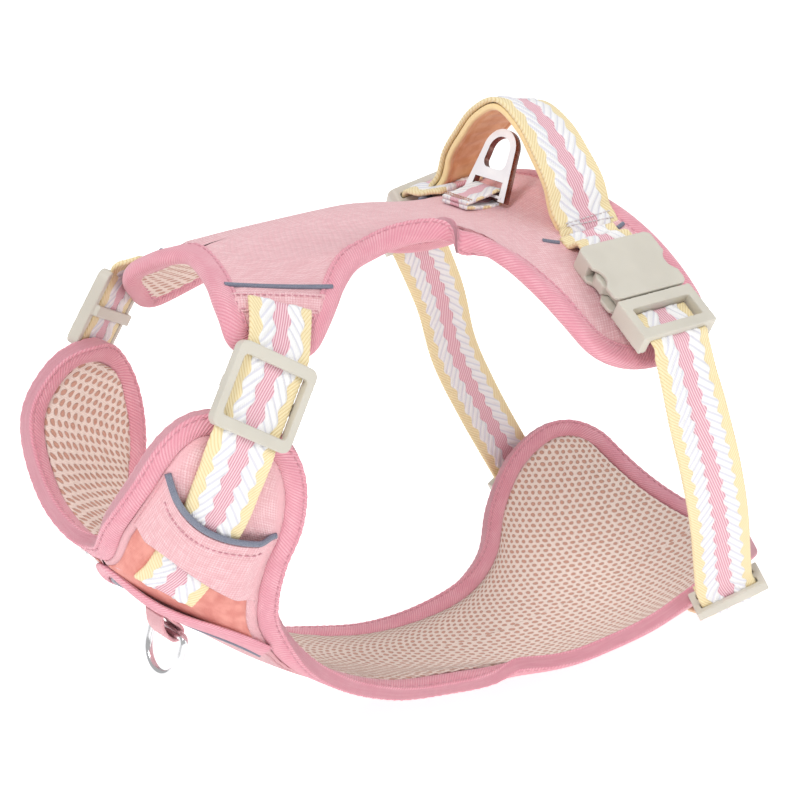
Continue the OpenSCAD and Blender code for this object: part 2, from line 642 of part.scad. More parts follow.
// ---------- rings ----------
tab_t = 1.4;
ring_tab_w = 15;
function tab_loop(bar, go, up, r, tail, rise) = concat(
    [bar - tail * go + (rise - r) * up],
    [bar - 6 * go - (r - 0.1) * up],
    [for (a = [-90:30:90]) bar + r * cos(a) * go + r * sin(a) * up],
    [bar - 6 * go + (r - 0.9) * up],
    [bar - tail * go + (tab_t + 0.2 + rise - r) * up]
);
module ring_tab() {
    path = tab_loop(BACK_BAR, [0, 1, 0], [0, 0, 1], 2.9, 17, 1.9);
    color(web_cream) ribbon(path, [for (q = path) [1, 0, 0]], ring_tab_w, tab_t);
}
module back_ring() {
    wire = ring_plate / 2;
    color([0.93, 0.93, 0.94]) place(BACK_BAR, BACK_LEAN, [0, -BACK_LEAN[2], BACK_LEAN[1]]) {
        rotate([0, 90, 0]) cylinder(h = 20, r = wire + 0.1, center = true, $fn = 48);
        translate([0, 0, -wire]) linear_extrude(ring_plate) difference() {
            union() {
                polygon([[-12.2, -1.6], [12.2, -1.6], [9, 18], [-9, 18]]);
                translate([0, 17.7]) circle(r = 9, $fn = 64);
            }
            // slot for the webbing
            polygon([[-8.7, -3], [8.7, -3], [8, 6], [-8, 6]]);
            // eye for a leash clip
            translate([0, 17.7]) circle(r = 5.8, $fn = 64);
            polygon([[-6.2, 13.4], [6.2, 13.4], [5.8, 17.7], [-5.8, 17.7]]);
            for (x = [-3.2, 3.2]) translate([x, 13.4]) circle(r = 3, $fn = 48);
            polygon([[-3.2, 10.4], [3.2, 10.4], [3.2, 14], [-3.2, 14]]);
        }
    }
}
module front_ring_tab() {
    path = tab_loop(FRONT_BAR, unit([0, 0.66, -0.75]), unit([0, -0.75, -0.66]), 2.9, 11, -0.4);
    color(web_cream) ribbon(path, [for (q = path) [1, 0, 0]], ring_tab_w, tab_t);
}
module front_ring() {
    r = ring_wire / 2;
    x = 10.5;
    leg = 7;
    color([0.80, 0.80, 0.82]) place(FRONT_BAR, FRONT_HANG, [0, -1, 0]) {
        rotate([0, 90, 0]) cylinder(h = 2 * x, r = r, center = true, $fn = 48);
        for (m = [-1, 1]) translate([m * x, 0, 0]) sphere(r = r, $fn = 48);
        for (m = [-1, 1]) translate([m * x, 0, 0]) rotate([-90, 0, 0]) cylinder(h = leg, r = r, $fn = 48);
        translate([0, leg, 0]) rotate_extrude(angle = 180, $fn = 96)
            translate([x, 0]) circle(r = r, $fn = 48);
    }
}
panel_shell(BACK, 1);  // back_shell
panel_foam(BACK, 1);  // back_foam
panel_lining(BACK, 1);  // back_lining
color(binding_pink) binding(BACK_EDGE, 1);  // back_binding
panel_shell(CHEST, -1);  // chest_shell
panel_foam(CHEST, -1);  // chest_foam
panel_lining(CHEST, -1);  // chest_lining
color(binding_pink) binding(CHEST_EDGE, -1);  // chest_binding
shoulder_patch(1);  // left_shoulder_patch
shoulder_patch(-1);  // right_shoulder_patch
shoulder_piping(1);  // left_shoulder_piping
shoulder_piping(-1);  // right_shoulder_piping
rear_piping(1);  // left_rear_piping
rear_piping(-1);  // right_rear_piping
ring_tab();
back_ring();
handle_webbing();
handle_pad();
socket_tab(1);  // left_socket_tab
socket_tab(-1);  // right_socket_tab
buckle_socket(1);  // left_buckle_socket
buckle_socket(-1);  // right_buckle_socket
buckle_plug(1);  // left_buckle_plug
buckle_plug(-1);  // right_buckle_plug
buckle_arm(1, 1);  // left_front_arm
buckle_arm(1, -1);  // left_rear_arm
buckle_arm(-1, -1);  // right_front_arm
buckle_arm(-1, 1);  // right_rear_arm
girth_strap(1);  // left_girth_strap
girth_strap(-1);  // right_girth_strap
belly_tab(1);  // left_belly_tab
belly_tab(-1);  // right_belly_tab
girth_slider(1);  // left_girth_slider
girth_slider(-1);  // right_girth_slider
neck_strap(1);  // left_neck_strap
neck_strap(-1);  // right_neck_strap
neck_slider(1);  // left_neck_slider
neck_slider(-1);  // right_neck_slider
pocket(1);  // left_pocket
pocket(-1);  // right_pocket
pocket_trim(1);  // left_pocket_trim
pocket_trim(-1);  // right_pocket_trim
front_cover();
cover_binding();
front_ring_tab();
front_ring();
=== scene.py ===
import math

import bmesh
import bpy
import numpy as np
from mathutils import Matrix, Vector


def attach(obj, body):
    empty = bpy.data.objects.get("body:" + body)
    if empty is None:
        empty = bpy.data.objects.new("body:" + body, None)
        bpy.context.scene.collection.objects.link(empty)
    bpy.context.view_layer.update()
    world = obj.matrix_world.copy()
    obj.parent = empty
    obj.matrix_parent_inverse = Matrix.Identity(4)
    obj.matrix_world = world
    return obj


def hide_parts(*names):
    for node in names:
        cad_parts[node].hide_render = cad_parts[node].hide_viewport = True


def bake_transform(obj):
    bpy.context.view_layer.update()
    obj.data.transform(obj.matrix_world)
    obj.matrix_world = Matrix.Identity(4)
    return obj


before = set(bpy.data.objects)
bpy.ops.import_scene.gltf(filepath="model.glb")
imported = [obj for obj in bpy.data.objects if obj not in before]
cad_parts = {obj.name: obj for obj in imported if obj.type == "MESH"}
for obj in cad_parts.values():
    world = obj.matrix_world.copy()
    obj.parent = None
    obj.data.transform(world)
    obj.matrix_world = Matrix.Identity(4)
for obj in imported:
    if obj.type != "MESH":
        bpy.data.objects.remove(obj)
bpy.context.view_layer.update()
MM = 0.001
ROOT = "harness"

# ---------------------------------------------------------------- camera, floor and light
scene = bpy.context.scene
scene.view_settings.view_transform = "Standard"
CAMERA_WAY = Vector((0.7103, -0.5960, 0.3746))
CAMERA_FAR = 0.8
FLOOR_Z = -0.145
camera_data = bpy.data.cameras.new("camera")
camera_data.lens = 90
camera_data.sensor_width = 36
camera_data.clip_end = 20
camera = bpy.data.objects.new("camera", camera_data)
scene.collection.objects.link(camera)
camera.location = CAMERA_WAY * CAMERA_FAR
camera.rotation_euler = (-CAMERA_WAY).to_track_quat("-Z", "Y").to_euler()
scene.camera = camera


def area_light(name, place, aim, size, power):
    data = bpy.data.lights.new(name, "AREA")
    data.shape = "DISK"
    data.size = size
    data.energy = power
    ob = bpy.data.objects.new(name, data)
    scene.collection.objects.link(ob)
    ob.location = place
    ob.rotation_euler = (Vector(aim) - Vector(place)).to_track_quat("-Z", "Y").to_euler()


area_light("key", (0.5, -1.0, 1.3), (0, 0, 0), 0.5, 12)
area_light("fill", (1.3, 0.5, 0.5), (0, 0, -0.02), 1.0, 3.5)
area_light("top", (-0.5, 0.5, 1.4), (0, 0, 0), 1.0, 5)
world = bpy.data.worlds.new("world")
scene.world = world
world.use_nodes = True
world.node_tree.nodes["Background"].inputs["Color"].default_value = (1, 1, 1, 1)
world.node_tree.nodes["Background"].inputs["Strength"].default_value = 0.56


# ---------------------------------------------------------------- materials
def linear(r, g, b):
    """Linear colour from the 0-255 values that a screen shows."""
    shown = (r / 255, g / 255, b / 255)
    return tuple(c / 12.92 if c <= 0.04045 else ((c + 0.055) / 1.055) ** 2.4 for c in shown) + (1,)


class Mat:
    """A node material. Sockets and plain numbers can be mixed in its calls."""

    def __init__(self, name, rough, **sockets):
        self.m = bpy.data.materials.new(name)
        self.m.use_nodes = True
        self.tree = self.m.node_tree
        self.bsdf = self.tree.nodes["Principled BSDF"]
        self.bsdf.inputs["Roughness"].default_value = rough
        for key, value in sockets.items():
            self.bsdf.inputs[key.replace("_", " ")].default_value = value

    def put(self, socket, value):
        if isinstance(value, bpy.types.NodeSocket):
            self.tree.links.new(value, socket)
        else:
            socket.default_value = value

    def node(self, kind, **inputs):
        n = self.tree.nodes.new("ShaderNode" + kind)
        for key, value in inputs.items():
            self.put(n.inputs[key.replace("_", " ")], value)
        return n

    def math(self, op, a, b=0.0, c=0.0):
        n = self.tree.nodes.new("ShaderNodeMath")
        n.operation = op
        for i, value in enumerate((a, b, c)):
            self.put(n.inputs[i], value)
        return n.outputs[0]

    def total(self, *parts):
        out = parts[0]
        for p in parts[1:]:
            out = self.math("ADD", out, p)
        return out

    def times(self, a, b):
        return self.math("MULTIPLY", a, b)

    def wave(self, phase):
        """0 to 1 and back as phase goes up by 1."""
        return self.math("MULTIPLY_ADD", self.math("SINE", self.times(phase, 2 * math.pi)), 0.5, 0.5)

    def ramp(self, x, low, high, a=0.0, b=1.0):
        n = self.tree.nodes.new("ShaderNodeMapRange")
        n.interpolation_type = "SMOOTHSTEP"
        for i, value in enumerate((x, low, high, a, b)):
            self.put(n.inputs[i], value)
        return n.outputs[0]

    def mix(self, f, a, b):
        """a where f is 0 and b where it is 1."""
        n = self.tree.nodes.new("ShaderNodeMix")
        n.data_type = "RGBA"
        self.put(n.inputs[0], f)
        self.put(n.inputs[6], a)
        self.put(n.inputs[7], b)
        return n.outputs[2]

    def tones(self, x, low, high, a, b):
        """Tone a where x is low, going over to tone b where it is high."""
        return self.mix(self.ramp(x, low, high), linear(*a), linear(*b))

    def cloth(self):
        """Distance across and along the cloth in mm, and the distance from its edge."""
        a = self.tree.nodes.new("ShaderNodeAttribute")
        a.attribute_name = "cloth"
        s = self.node("SeparateXYZ", Vector=a.outputs["Vector"])
        return s.outputs[0], s.outputs[1], s.outputs[2]

    def vector(self, x, y, z=0.0):
        return self.node("CombineXYZ", X=x, Y=y, Z=z).outputs[0]

    def noise(self, vector, scale, detail=2.0):
        return self.node("TexNoise", Vector=vector, Scale=scale, Detail=detail).outputs["Fac"]

    def here(self):
        return self.tree.nodes.new("ShaderNodeTexCoord").outputs["Object"]

    def finish(self, color, height=None, depth=0.1, strength=1.0, rough=None):
        self.put(self.bsdf.inputs["Base Color"], color)
        if rough is not None:
            self.put(self.bsdf.inputs["Roughness"], rough)
        if height is not None:
            bump = self.node("Bump", Height=height, Strength=strength, Distance=depth * MM)
            self.put(self.bsdf.inputs["Normal"], bump.outputs[0])
        return self.m


def make_shell():
    m = Mat("pink_oxford", 0.82, Sheen_Weight=0.25, Sheen_Roughness=0.5, Specular_IOR_Level=0.3)
    u, v, e = m.cloth()
    pitch = 1.1
    a = m.math("ABSOLUTE", m.math("SINE", m.times(u, math.pi / pitch)))
    b = m.math("ABSOLUTE", m.math("SINE", m.times(v, math.pi / pitch)))
    cell = m.math("ADD", m.math("FLOOR", m.times(u, 1 / pitch)), m.math("FLOOR", m.times(v, 1 / pitch)))
    over = m.math("PINGPONG", cell, 1.0)
    warp = m.times(a, m.math("MULTIPLY_ADD", over, 0.5, 0.5))
    weft = m.times(b, m.math("MULTIPLY_ADD", over, -0.5, 1.0))
    weave = m.math("MAXIMUM", warp, weft)
    streak = m.noise(m.vector(m.times(u, 1.1), m.times(v, 0.12)), 1.0, 3)
    cross = m.noise(m.vector(m.times(u, 0.12), m.times(v, 1.1), 7.0), 1.0, 3)
    soft = m.tones(m.total(streak, cross), 0.8, 1.25, (229, 179, 185), (241, 204, 208))
    deep = m.mix(m.ramp(weave, 0.25, 0.85), linear(222, 164, 170), soft)
    edge = m.mix(m.ramp(e, 1.5, 5.0), linear(232, 178, 184), deep)
    fuzz = m.noise(m.vector(u, v), 2.2, 3)
    return m.finish(edge, m.total(weave, m.times(fuzz, 0.5)), 0.16, 0.9)


def make_pocket_shade():
    # Darker salmon tones: painted shade for the opening under the pocket, where the pink cloth lies in
    # shadow.
    m = Mat("pocket_opening_painted_shade", 0.85, Sheen_Weight=0.2, Specular_IOR_Level=0.25)
    u, v, _ = m.cloth()
    weave = m.times(m.wave(m.times(u, 1 / 0.9)), m.wave(m.times(v, 1 / 0.9)))
    cloudy = m.noise(m.vector(u, v), 0.15, 2)
    color = m.tones(cloudy, 0.3, 0.7, (214, 132, 122), (232, 158, 146))
    return m.finish(color, weave, 0.08, 0.8)


def make_binding():
    m = Mat("pink_edge_tape", 0.7, Sheen_Weight=0.3, Sheen_Roughness=0.45, Specular_IOR_Level=0.35)
    u, v, _ = m.cloth()
    rib = m.wave(m.times(m.total(v, m.times(u, 0.8)), 1 / 1.35))
    thread = m.wave(m.times(u, 1 / 0.55))
    worn = m.noise(m.vector(m.times(u, 0.25), m.times(v, 0.08)), 1.0, 3)
    tint = m.tones(worn, 0.35, 0.7, (228, 158, 172), (236, 176, 187))
    color = m.mix(m.ramp(rib, 0.0, 0.7), linear(220, 142, 158), tint)
    return m.finish(color, m.total(m.times(rib, 1.0), m.times(thread, 0.2)), 0.22, 0.8)


def make_lining():
    m = Mat("air_mesh", 0.9, Sheen_Weight=0.2, Sheen_Roughness=0.6, Specular_IOR_Level=0.2)
    u, v, _ = m.cloth()
    jitter = m.noise(m.vector(u, v), 0.22, 1)
    a = m.total(m.times(u, 1 / 3.3), m.times(jitter, 0.5))
    b = m.total(m.times(v, 1 / 3.8), m.times(jitter, 0.4))
    shifted = m.total(a, m.times(m.math("PINGPONG", m.math("FLOOR", b), 1.0), 0.5))
    x = m.math("SUBTRACT", m.math("FRACT", shifted), 0.5)
    y = m.math("SUBTRACT", m.math("FRACT", b), 0.5)
    x2 = m.math("POWER", m.times(x, 1 / 0.34), 2.0)
    y2 = m.math("POWER", m.times(y, 1 / 0.38), 2.0)
    r = m.math("SQRT", m.total(x2, y2))
    solid = m.ramp(r, 0.72, 1.05)
    yarn = m.wave(m.total(m.times(v, 1 / 0.55), m.times(x, 1.2)))
    fuzz = m.noise(m.vector(u, v), 3.5, 3)
    light = m.tones(yarn, 0.1, 0.9, (237, 216, 204), (250, 235, 225))
    # Darker, browner holes: partly the colour seen through them, partly painted shade inside the holes.
    hole = m.tones(fuzz, 0.35, 0.65, (196, 146, 128), (216, 170, 150))
    height = m.total(m.times(solid, 1.0), m.times(yarn, 0.12), m.times(fuzz, 0.2))
    return m.finish(m.mix(solid, hole, light), height, 0.55, 0.9)


def make_webbing():
    m = Mat("striped_webbing", 0.62, Sheen_Weight=0.2, Sheen_Roughness=0.4, Specular_IOR_Level=0.4)
    u, v, _ = m.cloth()
    wobble = m.times(m.math("SINE", m.times(v, 2 * math.pi / 8.6)), 0.75)
    x = m.total(m.math("ABSOLUTE", u), wobble)
    lines = m.wave(m.total(m.times(u, 1 / 0.95), m.times(v, 0.17)))
    pink = m.tones(lines, 0.35, 0.75, (214, 150, 166), (240, 206, 213))
    cord_lumps = m.wave(m.total(m.times(m.math("ABSOLUTE", u), 1 / 3.4), m.times(v, -1 / 4.5)))
    strand = m.wave(m.times(m.total(m.math("ABSOLUTE", u), m.times(v, 0.35)), 1 / 0.8))
    # Darker, bluer white where the cord lumps dip: painted shade between the cords.
    white = m.tones(cord_lumps, 0.0, 0.35, (218, 217, 226), (240, 239, 239))
    rib = m.wave(m.total(m.times(m.math("ABSOLUTE", u), 1 / 1.3), m.times(v, 1 / 1.9)))
    yellow = m.tones(rib, 0.0, 0.5, (226, 204, 152), (240, 224, 182))
    inner = m.ramp(x, 2.85, 3.15)
    outer = m.ramp(x, 8.25, 8.6)
    color = m.mix(outer, m.mix(inner, pink, white), yellow)
    middle = m.times(m.math("SUBTRACT", 1.0, inner), m.times(lines, 0.5))
    cord = m.times(inner, m.math("SUBTRACT", 1.0, outer))
    braid = m.times(cord, m.total(m.times(cord_lumps, 0.9), m.times(strand, 0.3)))
    side = m.times(outer, m.times(rib, 0.5))
    return m.finish(color, m.total(middle, braid, side), 0.3, 0.9)


def make_plastic():
    m = Mat("cream_plastic", 0.4, Specular_IOR_Level=0.45)
    m.bsdf.inputs["Subsurface Weight"].default_value = 0.06
    m.bsdf.inputs["Subsurface Radius"].default_value = (0.004, 0.003, 0.002)
    big = m.noise(m.here(), 60.0, 2)
    fine = m.noise(m.here(), 2600.0, 2)
    color = m.tones(big, 0.3, 0.7, (200, 195, 183), (206, 201, 189))
    return m.finish(color, fine, 0.03, 0.6, rough=m.ramp(big, 0.2, 0.8, 0.36, 0.46))


def make_trim():
    m = Mat("reflective_grey", 0.38, Specular_IOR_Level=0.6)
    _, v, _ = m.cloth()
    beads = m.noise(m.here(), 5200.0, 2)
    broad = m.noise(m.here(), 120.0, 2)
    color = m.tones(beads, 0.3, 0.7, (84, 90, 108), (136, 141, 158))
    height = m.total(beads, m.times(m.wave(m.times(v, 1 / 1.1)), 0.4))
    return m.finish(color, height, 0.06, 0.7, rough=m.ramp(broad, 0.3, 0.7, 0.32, 0.48))


def make_pad():
    m = Mat("peach_padding", 0.85, Sheen_Weight=0.35, Sheen_Roughness=0.5, Specular_IOR_Level=0.25)
    u, v, e = m.cloth()
    weave = m.times(m.wave(m.times(u, 1 / 0.6)), m.wave(m.times(v, 1 / 0.6)))
    cloudy = m.noise(m.vector(u, v), 0.18, 3)
    color = m.tones(cloudy, 0.3, 0.7, (232, 172, 122), (247, 197, 150))
    rim = m.mix(m.ramp(e, 0.6, 1.8), linear(247, 222, 168), color)
    return m.finish(rim, weave, 0.08, 0.8)


def make_foam():
    m = Mat("foam_core", 0.95, Specular_IOR_Level=0.1)
    cells = m.noise(m.here(), 900.0, 4)
    return m.finish(m.mix(cells, linear(232, 172, 180), linear(240, 190, 194)), cells, 0.1)


def make_thread(name, tone):
    m = Mat(name, 0.6, Sheen_Weight=0.3)
    u, v, _ = m.cloth()
    twist = m.wave(m.times(m.total(u, v), 1 / 0.45))
    darker = linear(*(c * 0.86 for c in tone))
    return m.finish(m.mix(twist, darker, linear(*tone)), twist, 0.05)


def make_metal(name, tone, rough, brushed):
    m = Mat(name, rough, Metallic=1.0)
    scratches = m.noise(m.here(), 1500.0, 3)
    cloudy = m.noise(m.here(), 90.0, 2)
    color = m.tones(cloudy, 0.3, 0.7, tone, [min(255, c + 12) for c in tone])
    worn = m.ramp(scratches, 0.3, 0.7, rough * 0.75, rough * 1.35)
    return m.finish(color, scratches, 0.02, brushed, rough=worn)


def make_paint():
    m = Mat("white_coat", 0.28, Coat_Weight=0.35, Coat_Roughness=0.12)
    peel = m.noise(m.here(), 700.0, 2)
    tint = m.noise(m.here(), 110.0, 2)
    color = m.tones(tint, 0.3, 0.7, (240, 240, 243), (250, 250, 251))
    return m.finish(color, peel, 0.02, 0.5)


SHELL = make_shell()
POCKET_SHADE = make_pocket_shade()
BINDING = make_binding()
LINING = make_lining()
WEBBING = make_webbing()
PLASTIC = make_plastic()
TRIM = make_trim()
PADDING = make_pad()
FOAM = make_foam()
THREAD = make_thread("pink_thread", (230, 154, 170))
TAN_THREAD = make_thread("tan_thread", (222, 178, 160))
WHITE_THREAD = make_thread("white_thread", (244, 236, 238))
STEEL = make_metal("polished_steel", (216, 216, 218), 0.14, 0.3)
BRONZE = make_metal("ring_edge", (138, 104, 96), 0.24, 0.4)
WHITE = make_paint()


# ---------------------------------------------------------------- meshes
def make(name, points, faces, cloth, mat, body=ROOT, stands_for=()):
    """A mesh piece from points in mm; cloth holds each point's place on the fabric."""
    me = bpy.data.meshes.new(name)
    corners = [tuple(p) for p in np.asarray(points) * MM]
    me.from_pydata(corners, [], [tuple(int(i) for i in f) for f in faces])
    at = me.attributes.new("cloth", "FLOAT_VECTOR", "POINT")
    at.data.foreach_set("vector", np.asarray(cloth, np.float32).ravel())
    bm = bmesh.new()
    bm.from_mesh(me)
    bmesh.ops.remove_doubles(bm, verts=bm.verts, dist=2e-6)
    bmesh.ops.dissolve_degenerate(bm, edges=bm.edges, dist=1e-7)
    bmesh.ops.recalc_face_normals(bm, faces=bm.faces)
    bm.to_mesh(me)
    bm.free()
    ob = bpy.data.objects.new(name, me)
    scene.collection.objects.link(ob)
    me.materials.append(mat)
    me.shade_smooth()
    if body is not None:
        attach(ob, body)
    if stands_for:
        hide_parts(*stands_for)
    return ob


def unit(v):
    return v / np.maximum(np.linalg.norm(v, axis=-1, keepdims=True), 1e-12)


def dot(a, b):
    return (a * b).sum(-1, keepdims=True)


def square_to(v, t):
    return unit(v - dot(v, t) * t)


def flip(p):
    return p * np.array([-1, 1, 1])


def vec(*xyz):
    return np.array(xyz, float)


# ---------------------------------------------------------------- panel surfaces, as in the frame
BACK_NECK = [
    [45, -114, 60], [42, -114, 70], [34, -112, 76], [20, -106, 79], [0, -100, 80],
    [-14, -101, 77], [-26, -101, 72], [-35, -102, 66], [-38, -101, 59],
]
BACK_RIDGE = [
    [0, -100, 80], [0, -78, 81], [0, -50, 81], [0, -22, 80], [0, 0, 77], [0, 15, 74], [0, 27, 72],
    [0, 38, 71], [0, 48, 71], [0, 57, 72], [0, 66, 74], [0, 74, 75], [0, 82, 76],
]
BACK_LEFT = [
    [50, -83, 50], [46, -73, 58], [42, -65, 64], [37, -57, 69], [32, -47, 73], [28, -35, 74],
    [26, -20, 75], [28, -4, 74], [38, 4, 73], [52, 9, 68], [64, 14, 58], [75, 17, 49],
    [82, 25, 37], [87, 37, 30], [90, 53, 28], [89, 71, 30], [84, 87, 40],
]
BACK_RIGHT = [
    [60, -80, 41], [53, -72, 46], [46, -64, 52], [39, -56, 58], [33, -46, 63], [29, -34, 66],
    [26, -20, 66], [28, -4, 65], [36, 5, 61], [46, 13, 55], [55, 21, 48], [62, 28, 42],
    [65, 40, 39], [66, 54, 35], [66, 70, 33], [65, 87, 34], [62, 102, 42],
]
CHEST_NECK = [
    [46, -125, 42], [42, -138, 33], [34, -145, 17], [19, -147, -2], [0, -142, -21],
    [-28, -144, -12], [-45, -141, 13], [-47, -128, 31], [-45, -112, 37],
]
CHEST_RIDGE = [
    [0, -142, -21], [0, -129, -38], [0, -110, -55], [0, -88, -75], [0, -57, -98], [0, -24, -113],
    [0, 10, -122], [0, 45, -127], [0, 78, -128], [0, 109, -127], [0, 138, -124], [0, 167, -119],
    [0, 194, -112],
]
CHEST_LEFT = [
    [57, -101, 30], [55, -94, 11], [50, -92, -8], [43, -94, -25], [36, -93, -42], [30, -88, -58],
    [28, -76, -77], [27, -54, -96], [27, -26, -111], [28, 4, -119], [36, 30, -120], [49, 50, -115],
    [57, 69, -110], [62, 89, -105], [64, 108, -99], [64, 124, -95], [58, 140, -95],
]
CHEST_RIGHT = [
    [56, -97, 27], [54, -92, 8], [52, -92, -10], [48, -97, -27], [38, -96, -44], [31, -89, -58],
    [28, -76, -77], [27, -54, -96], [27, -28, -108], [27, 2, -117], [29, 34, -121], [34, 64, -120],
    [46, 91, -115], [60, 109, -101], [69, 130, -86], [70, 155, -77], [62, 177, -81],
]
END_PITCH = 18.0  # mm between two rows of an outline near its ends
CORNER = 10.6  # radius of the panels' corners
# how far inside the outline the sewn parts, the cloth and the edge tape are measured from, in mm
LAYER_IN = 5.8
CLOTH_IN = 4.6
BAND_IN = 2.6


def spot(p, t):
    p, t = np.asarray(p, float), np.asarray(t, float)
    n = len(p) - 1
    i = np.clip(np.floor(t).astype(int), 0, n - 1)
    f = (t - i)[..., None]
    b, c = p[i], p[i + 1]
    a = np.where((i > 0)[..., None], p[np.maximum(i - 1, 0)], 2 * b - c)
    d = np.where((i < n - 1)[..., None], p[np.minimum(i + 2, n)], 2 * c - b)
    return (2 * b + (c - a) * f + (2 * a - 5 * b + 4 * c - d) * f**2 + (3 * b - a - 3 * c + d) * f**3) / 2


def run(p, i):
    p = np.asarray(p, float)
    return unit(p[min(i + 1, len(p) - 1)] - p[max(i - 1, 0)])


def bulge(i, o):
    q = np.minimum(1, np.abs(i[..., 0]) / 30)
    t = q * (2 - q)
    k = np.stack([0.66 - 0.06 * t, 0.45 * t, 0.4 * t], -1)
    return i + k * (o - i)


class Panel:
    """One panel's surface, pulled in from its outline. out is 1 on the back and -1 on the chest."""

    def __init__(self, neck, ridge, left, right, out, inset):
        neck, ridge, left, right = (np.array(x, float) for x in (neck, ridge, left, right))
        self.out = out
        moved = []
        for k in range(9):
            far = k > 4
            p = flip(neck[k]) if far else neck[k]
            o = right[8 - k] if far else left[k]
            way = flip(run(neck, k)) if far else run(neck, k)
            v = square_to(ridge[1] - ridge[0] if k == 4 else bulge(p, o) - p, way)
            moved.append(neck[k] + inset * (flip(v) if far else v))
        self.neck = np.array(moved)
        self.ridge = np.vstack([self.neck[4], ridge[1:]])
        self.edge = {}
        for side, edge in ((1, left), (-1, right)):
            rows = []
            for k in range(17):
                i = (neck[k] if side > 0 else flip(neck[8 - k])) if k < 4 else ridge[k - 4]
                rows.append(edge[k] + inset * square_to(bulge(i, edge[k]) - edge[k], run(edge, k)))
            self.edge[side] = np.array(rows)

    def inner(self, side, s):
        s = np.asarray(s, float)
        wing = spot(self.neck, s) if side > 0 else flip(spot(self.neck, 8 - s))
        return np.where((s >= 4)[..., None], spot(self.ridge, s - 4), wing)

    def outer(self, side, s):
        return spot(self.edge[side], s)

    def at(self, side, s, w):
        s, w = np.broadcast_arrays(np.asarray(s, float), np.asarray(w, float))
        i, o = self.inner(side, s), self.outer(side, s)
        m = bulge(i, o)
        w = w[..., None]
        q = (1 - w) ** 2 * i + 2 * w * (1 - w) * m + w * w * o
        return q if side > 0 else flip(q)

    def away(self, side, s, w):
        s, w = np.broadcast_arrays(np.asarray(s, float), np.asarray(w, float))
        along = self.at(side, np.minimum(s + 0.5, 16), w) - self.at(side, np.maximum(s - 0.5, 0), w)
        across = self.at(side, s, w + 0.05) - self.at(side, s, w - 0.05)
        return self.out * side * unit(np.cross(across, along))

    def lift(self, side, s, w, h):
        return self.at(side, s, w) + np.asarray(h, float)[..., None] * self.away(side, s, w)

    def row_dir(self, side, s, w):
        return self.at(side, s, w + 0.1) - self.at(side, s, w - 0.1)

    def station_dir(self, side, s, w):
        return self.at(side, s + 0.5, w) - self.at(side, s - 0.5, w)


def back_panel(inset):
    return Panel(BACK_NECK, BACK_RIDGE, BACK_LEFT, BACK_RIGHT, 1, inset)


def chest_panel(inset):
    return Panel(CHEST_NECK, CHEST_RIDGE, CHEST_LEFT, CHEST_RIGHT, -1, inset)


BACK, CHEST = back_panel(LAYER_IN), chest_panel(LAYER_IN)
BACK_EDGE, CHEST_EDGE = back_panel(BAND_IN), chest_panel(BAND_IN)
BACK_CLOTH, CHEST_CLOTH = back_panel(CLOTH_IN), chest_panel(CLOTH_IN)


def panel_rows(inset, wing=34, rear=96, turn=8):
    """[station, cut of the outer corner, cut of the inner corner] for each row, front to rear."""
    r = CORNER - inset
    a = (inset + r) / END_PITCH
    bend = [math.radians(90 * i / turn) for i in range(turn)]
    front = []
    for t in bend:
        cut = r * (1 - math.sin(t))
        front.append([(inset + r * (1 - math.cos(t))) / END_PITCH, cut, cut])
    mid = [[a + (4 - a) * i / wing, 0, 0] for i in range(wing)]
    back = [[4 + (12 - a) * i / rear, 0, 0] for i in range(rear + 1)]
    last = [[16 - f[0], f[1], 0] for f in reversed(front)]
    return np.array(front + mid + back + last), turn + wing


def cuts(panel, side, rows):
    i, o = panel.inner(side, rows[:, 0]), panel.outer(side, rows[:, 0])
    m = bulge(i, o)
    high = 1 - rows[:, 1] / (2 * np.linalg.norm(o - m, axis=-1))
    low = rows[:, 2] / (2 * np.linalg.norm(m - i, axis=-1))
    return low, high


def ripple(u, v, e):
    """Small puckers along a sewn edge, and slow unevenness further in, in mm."""
    pucker = 0.2 * np.sin((u + v) * 0.95 + 1.3 * np.sin(v * 0.11)) * np.exp(-((e / 6.5) ** 2))
    slow = 0.22 * np.sin(u * 0.13 + 0.9 * np.sin(v * 0.07)) * np.sin(v * 0.083 + 1.1)
    slow = slow * (1 - np.exp(-((e / 9) ** 2)))
    return pucker + slow


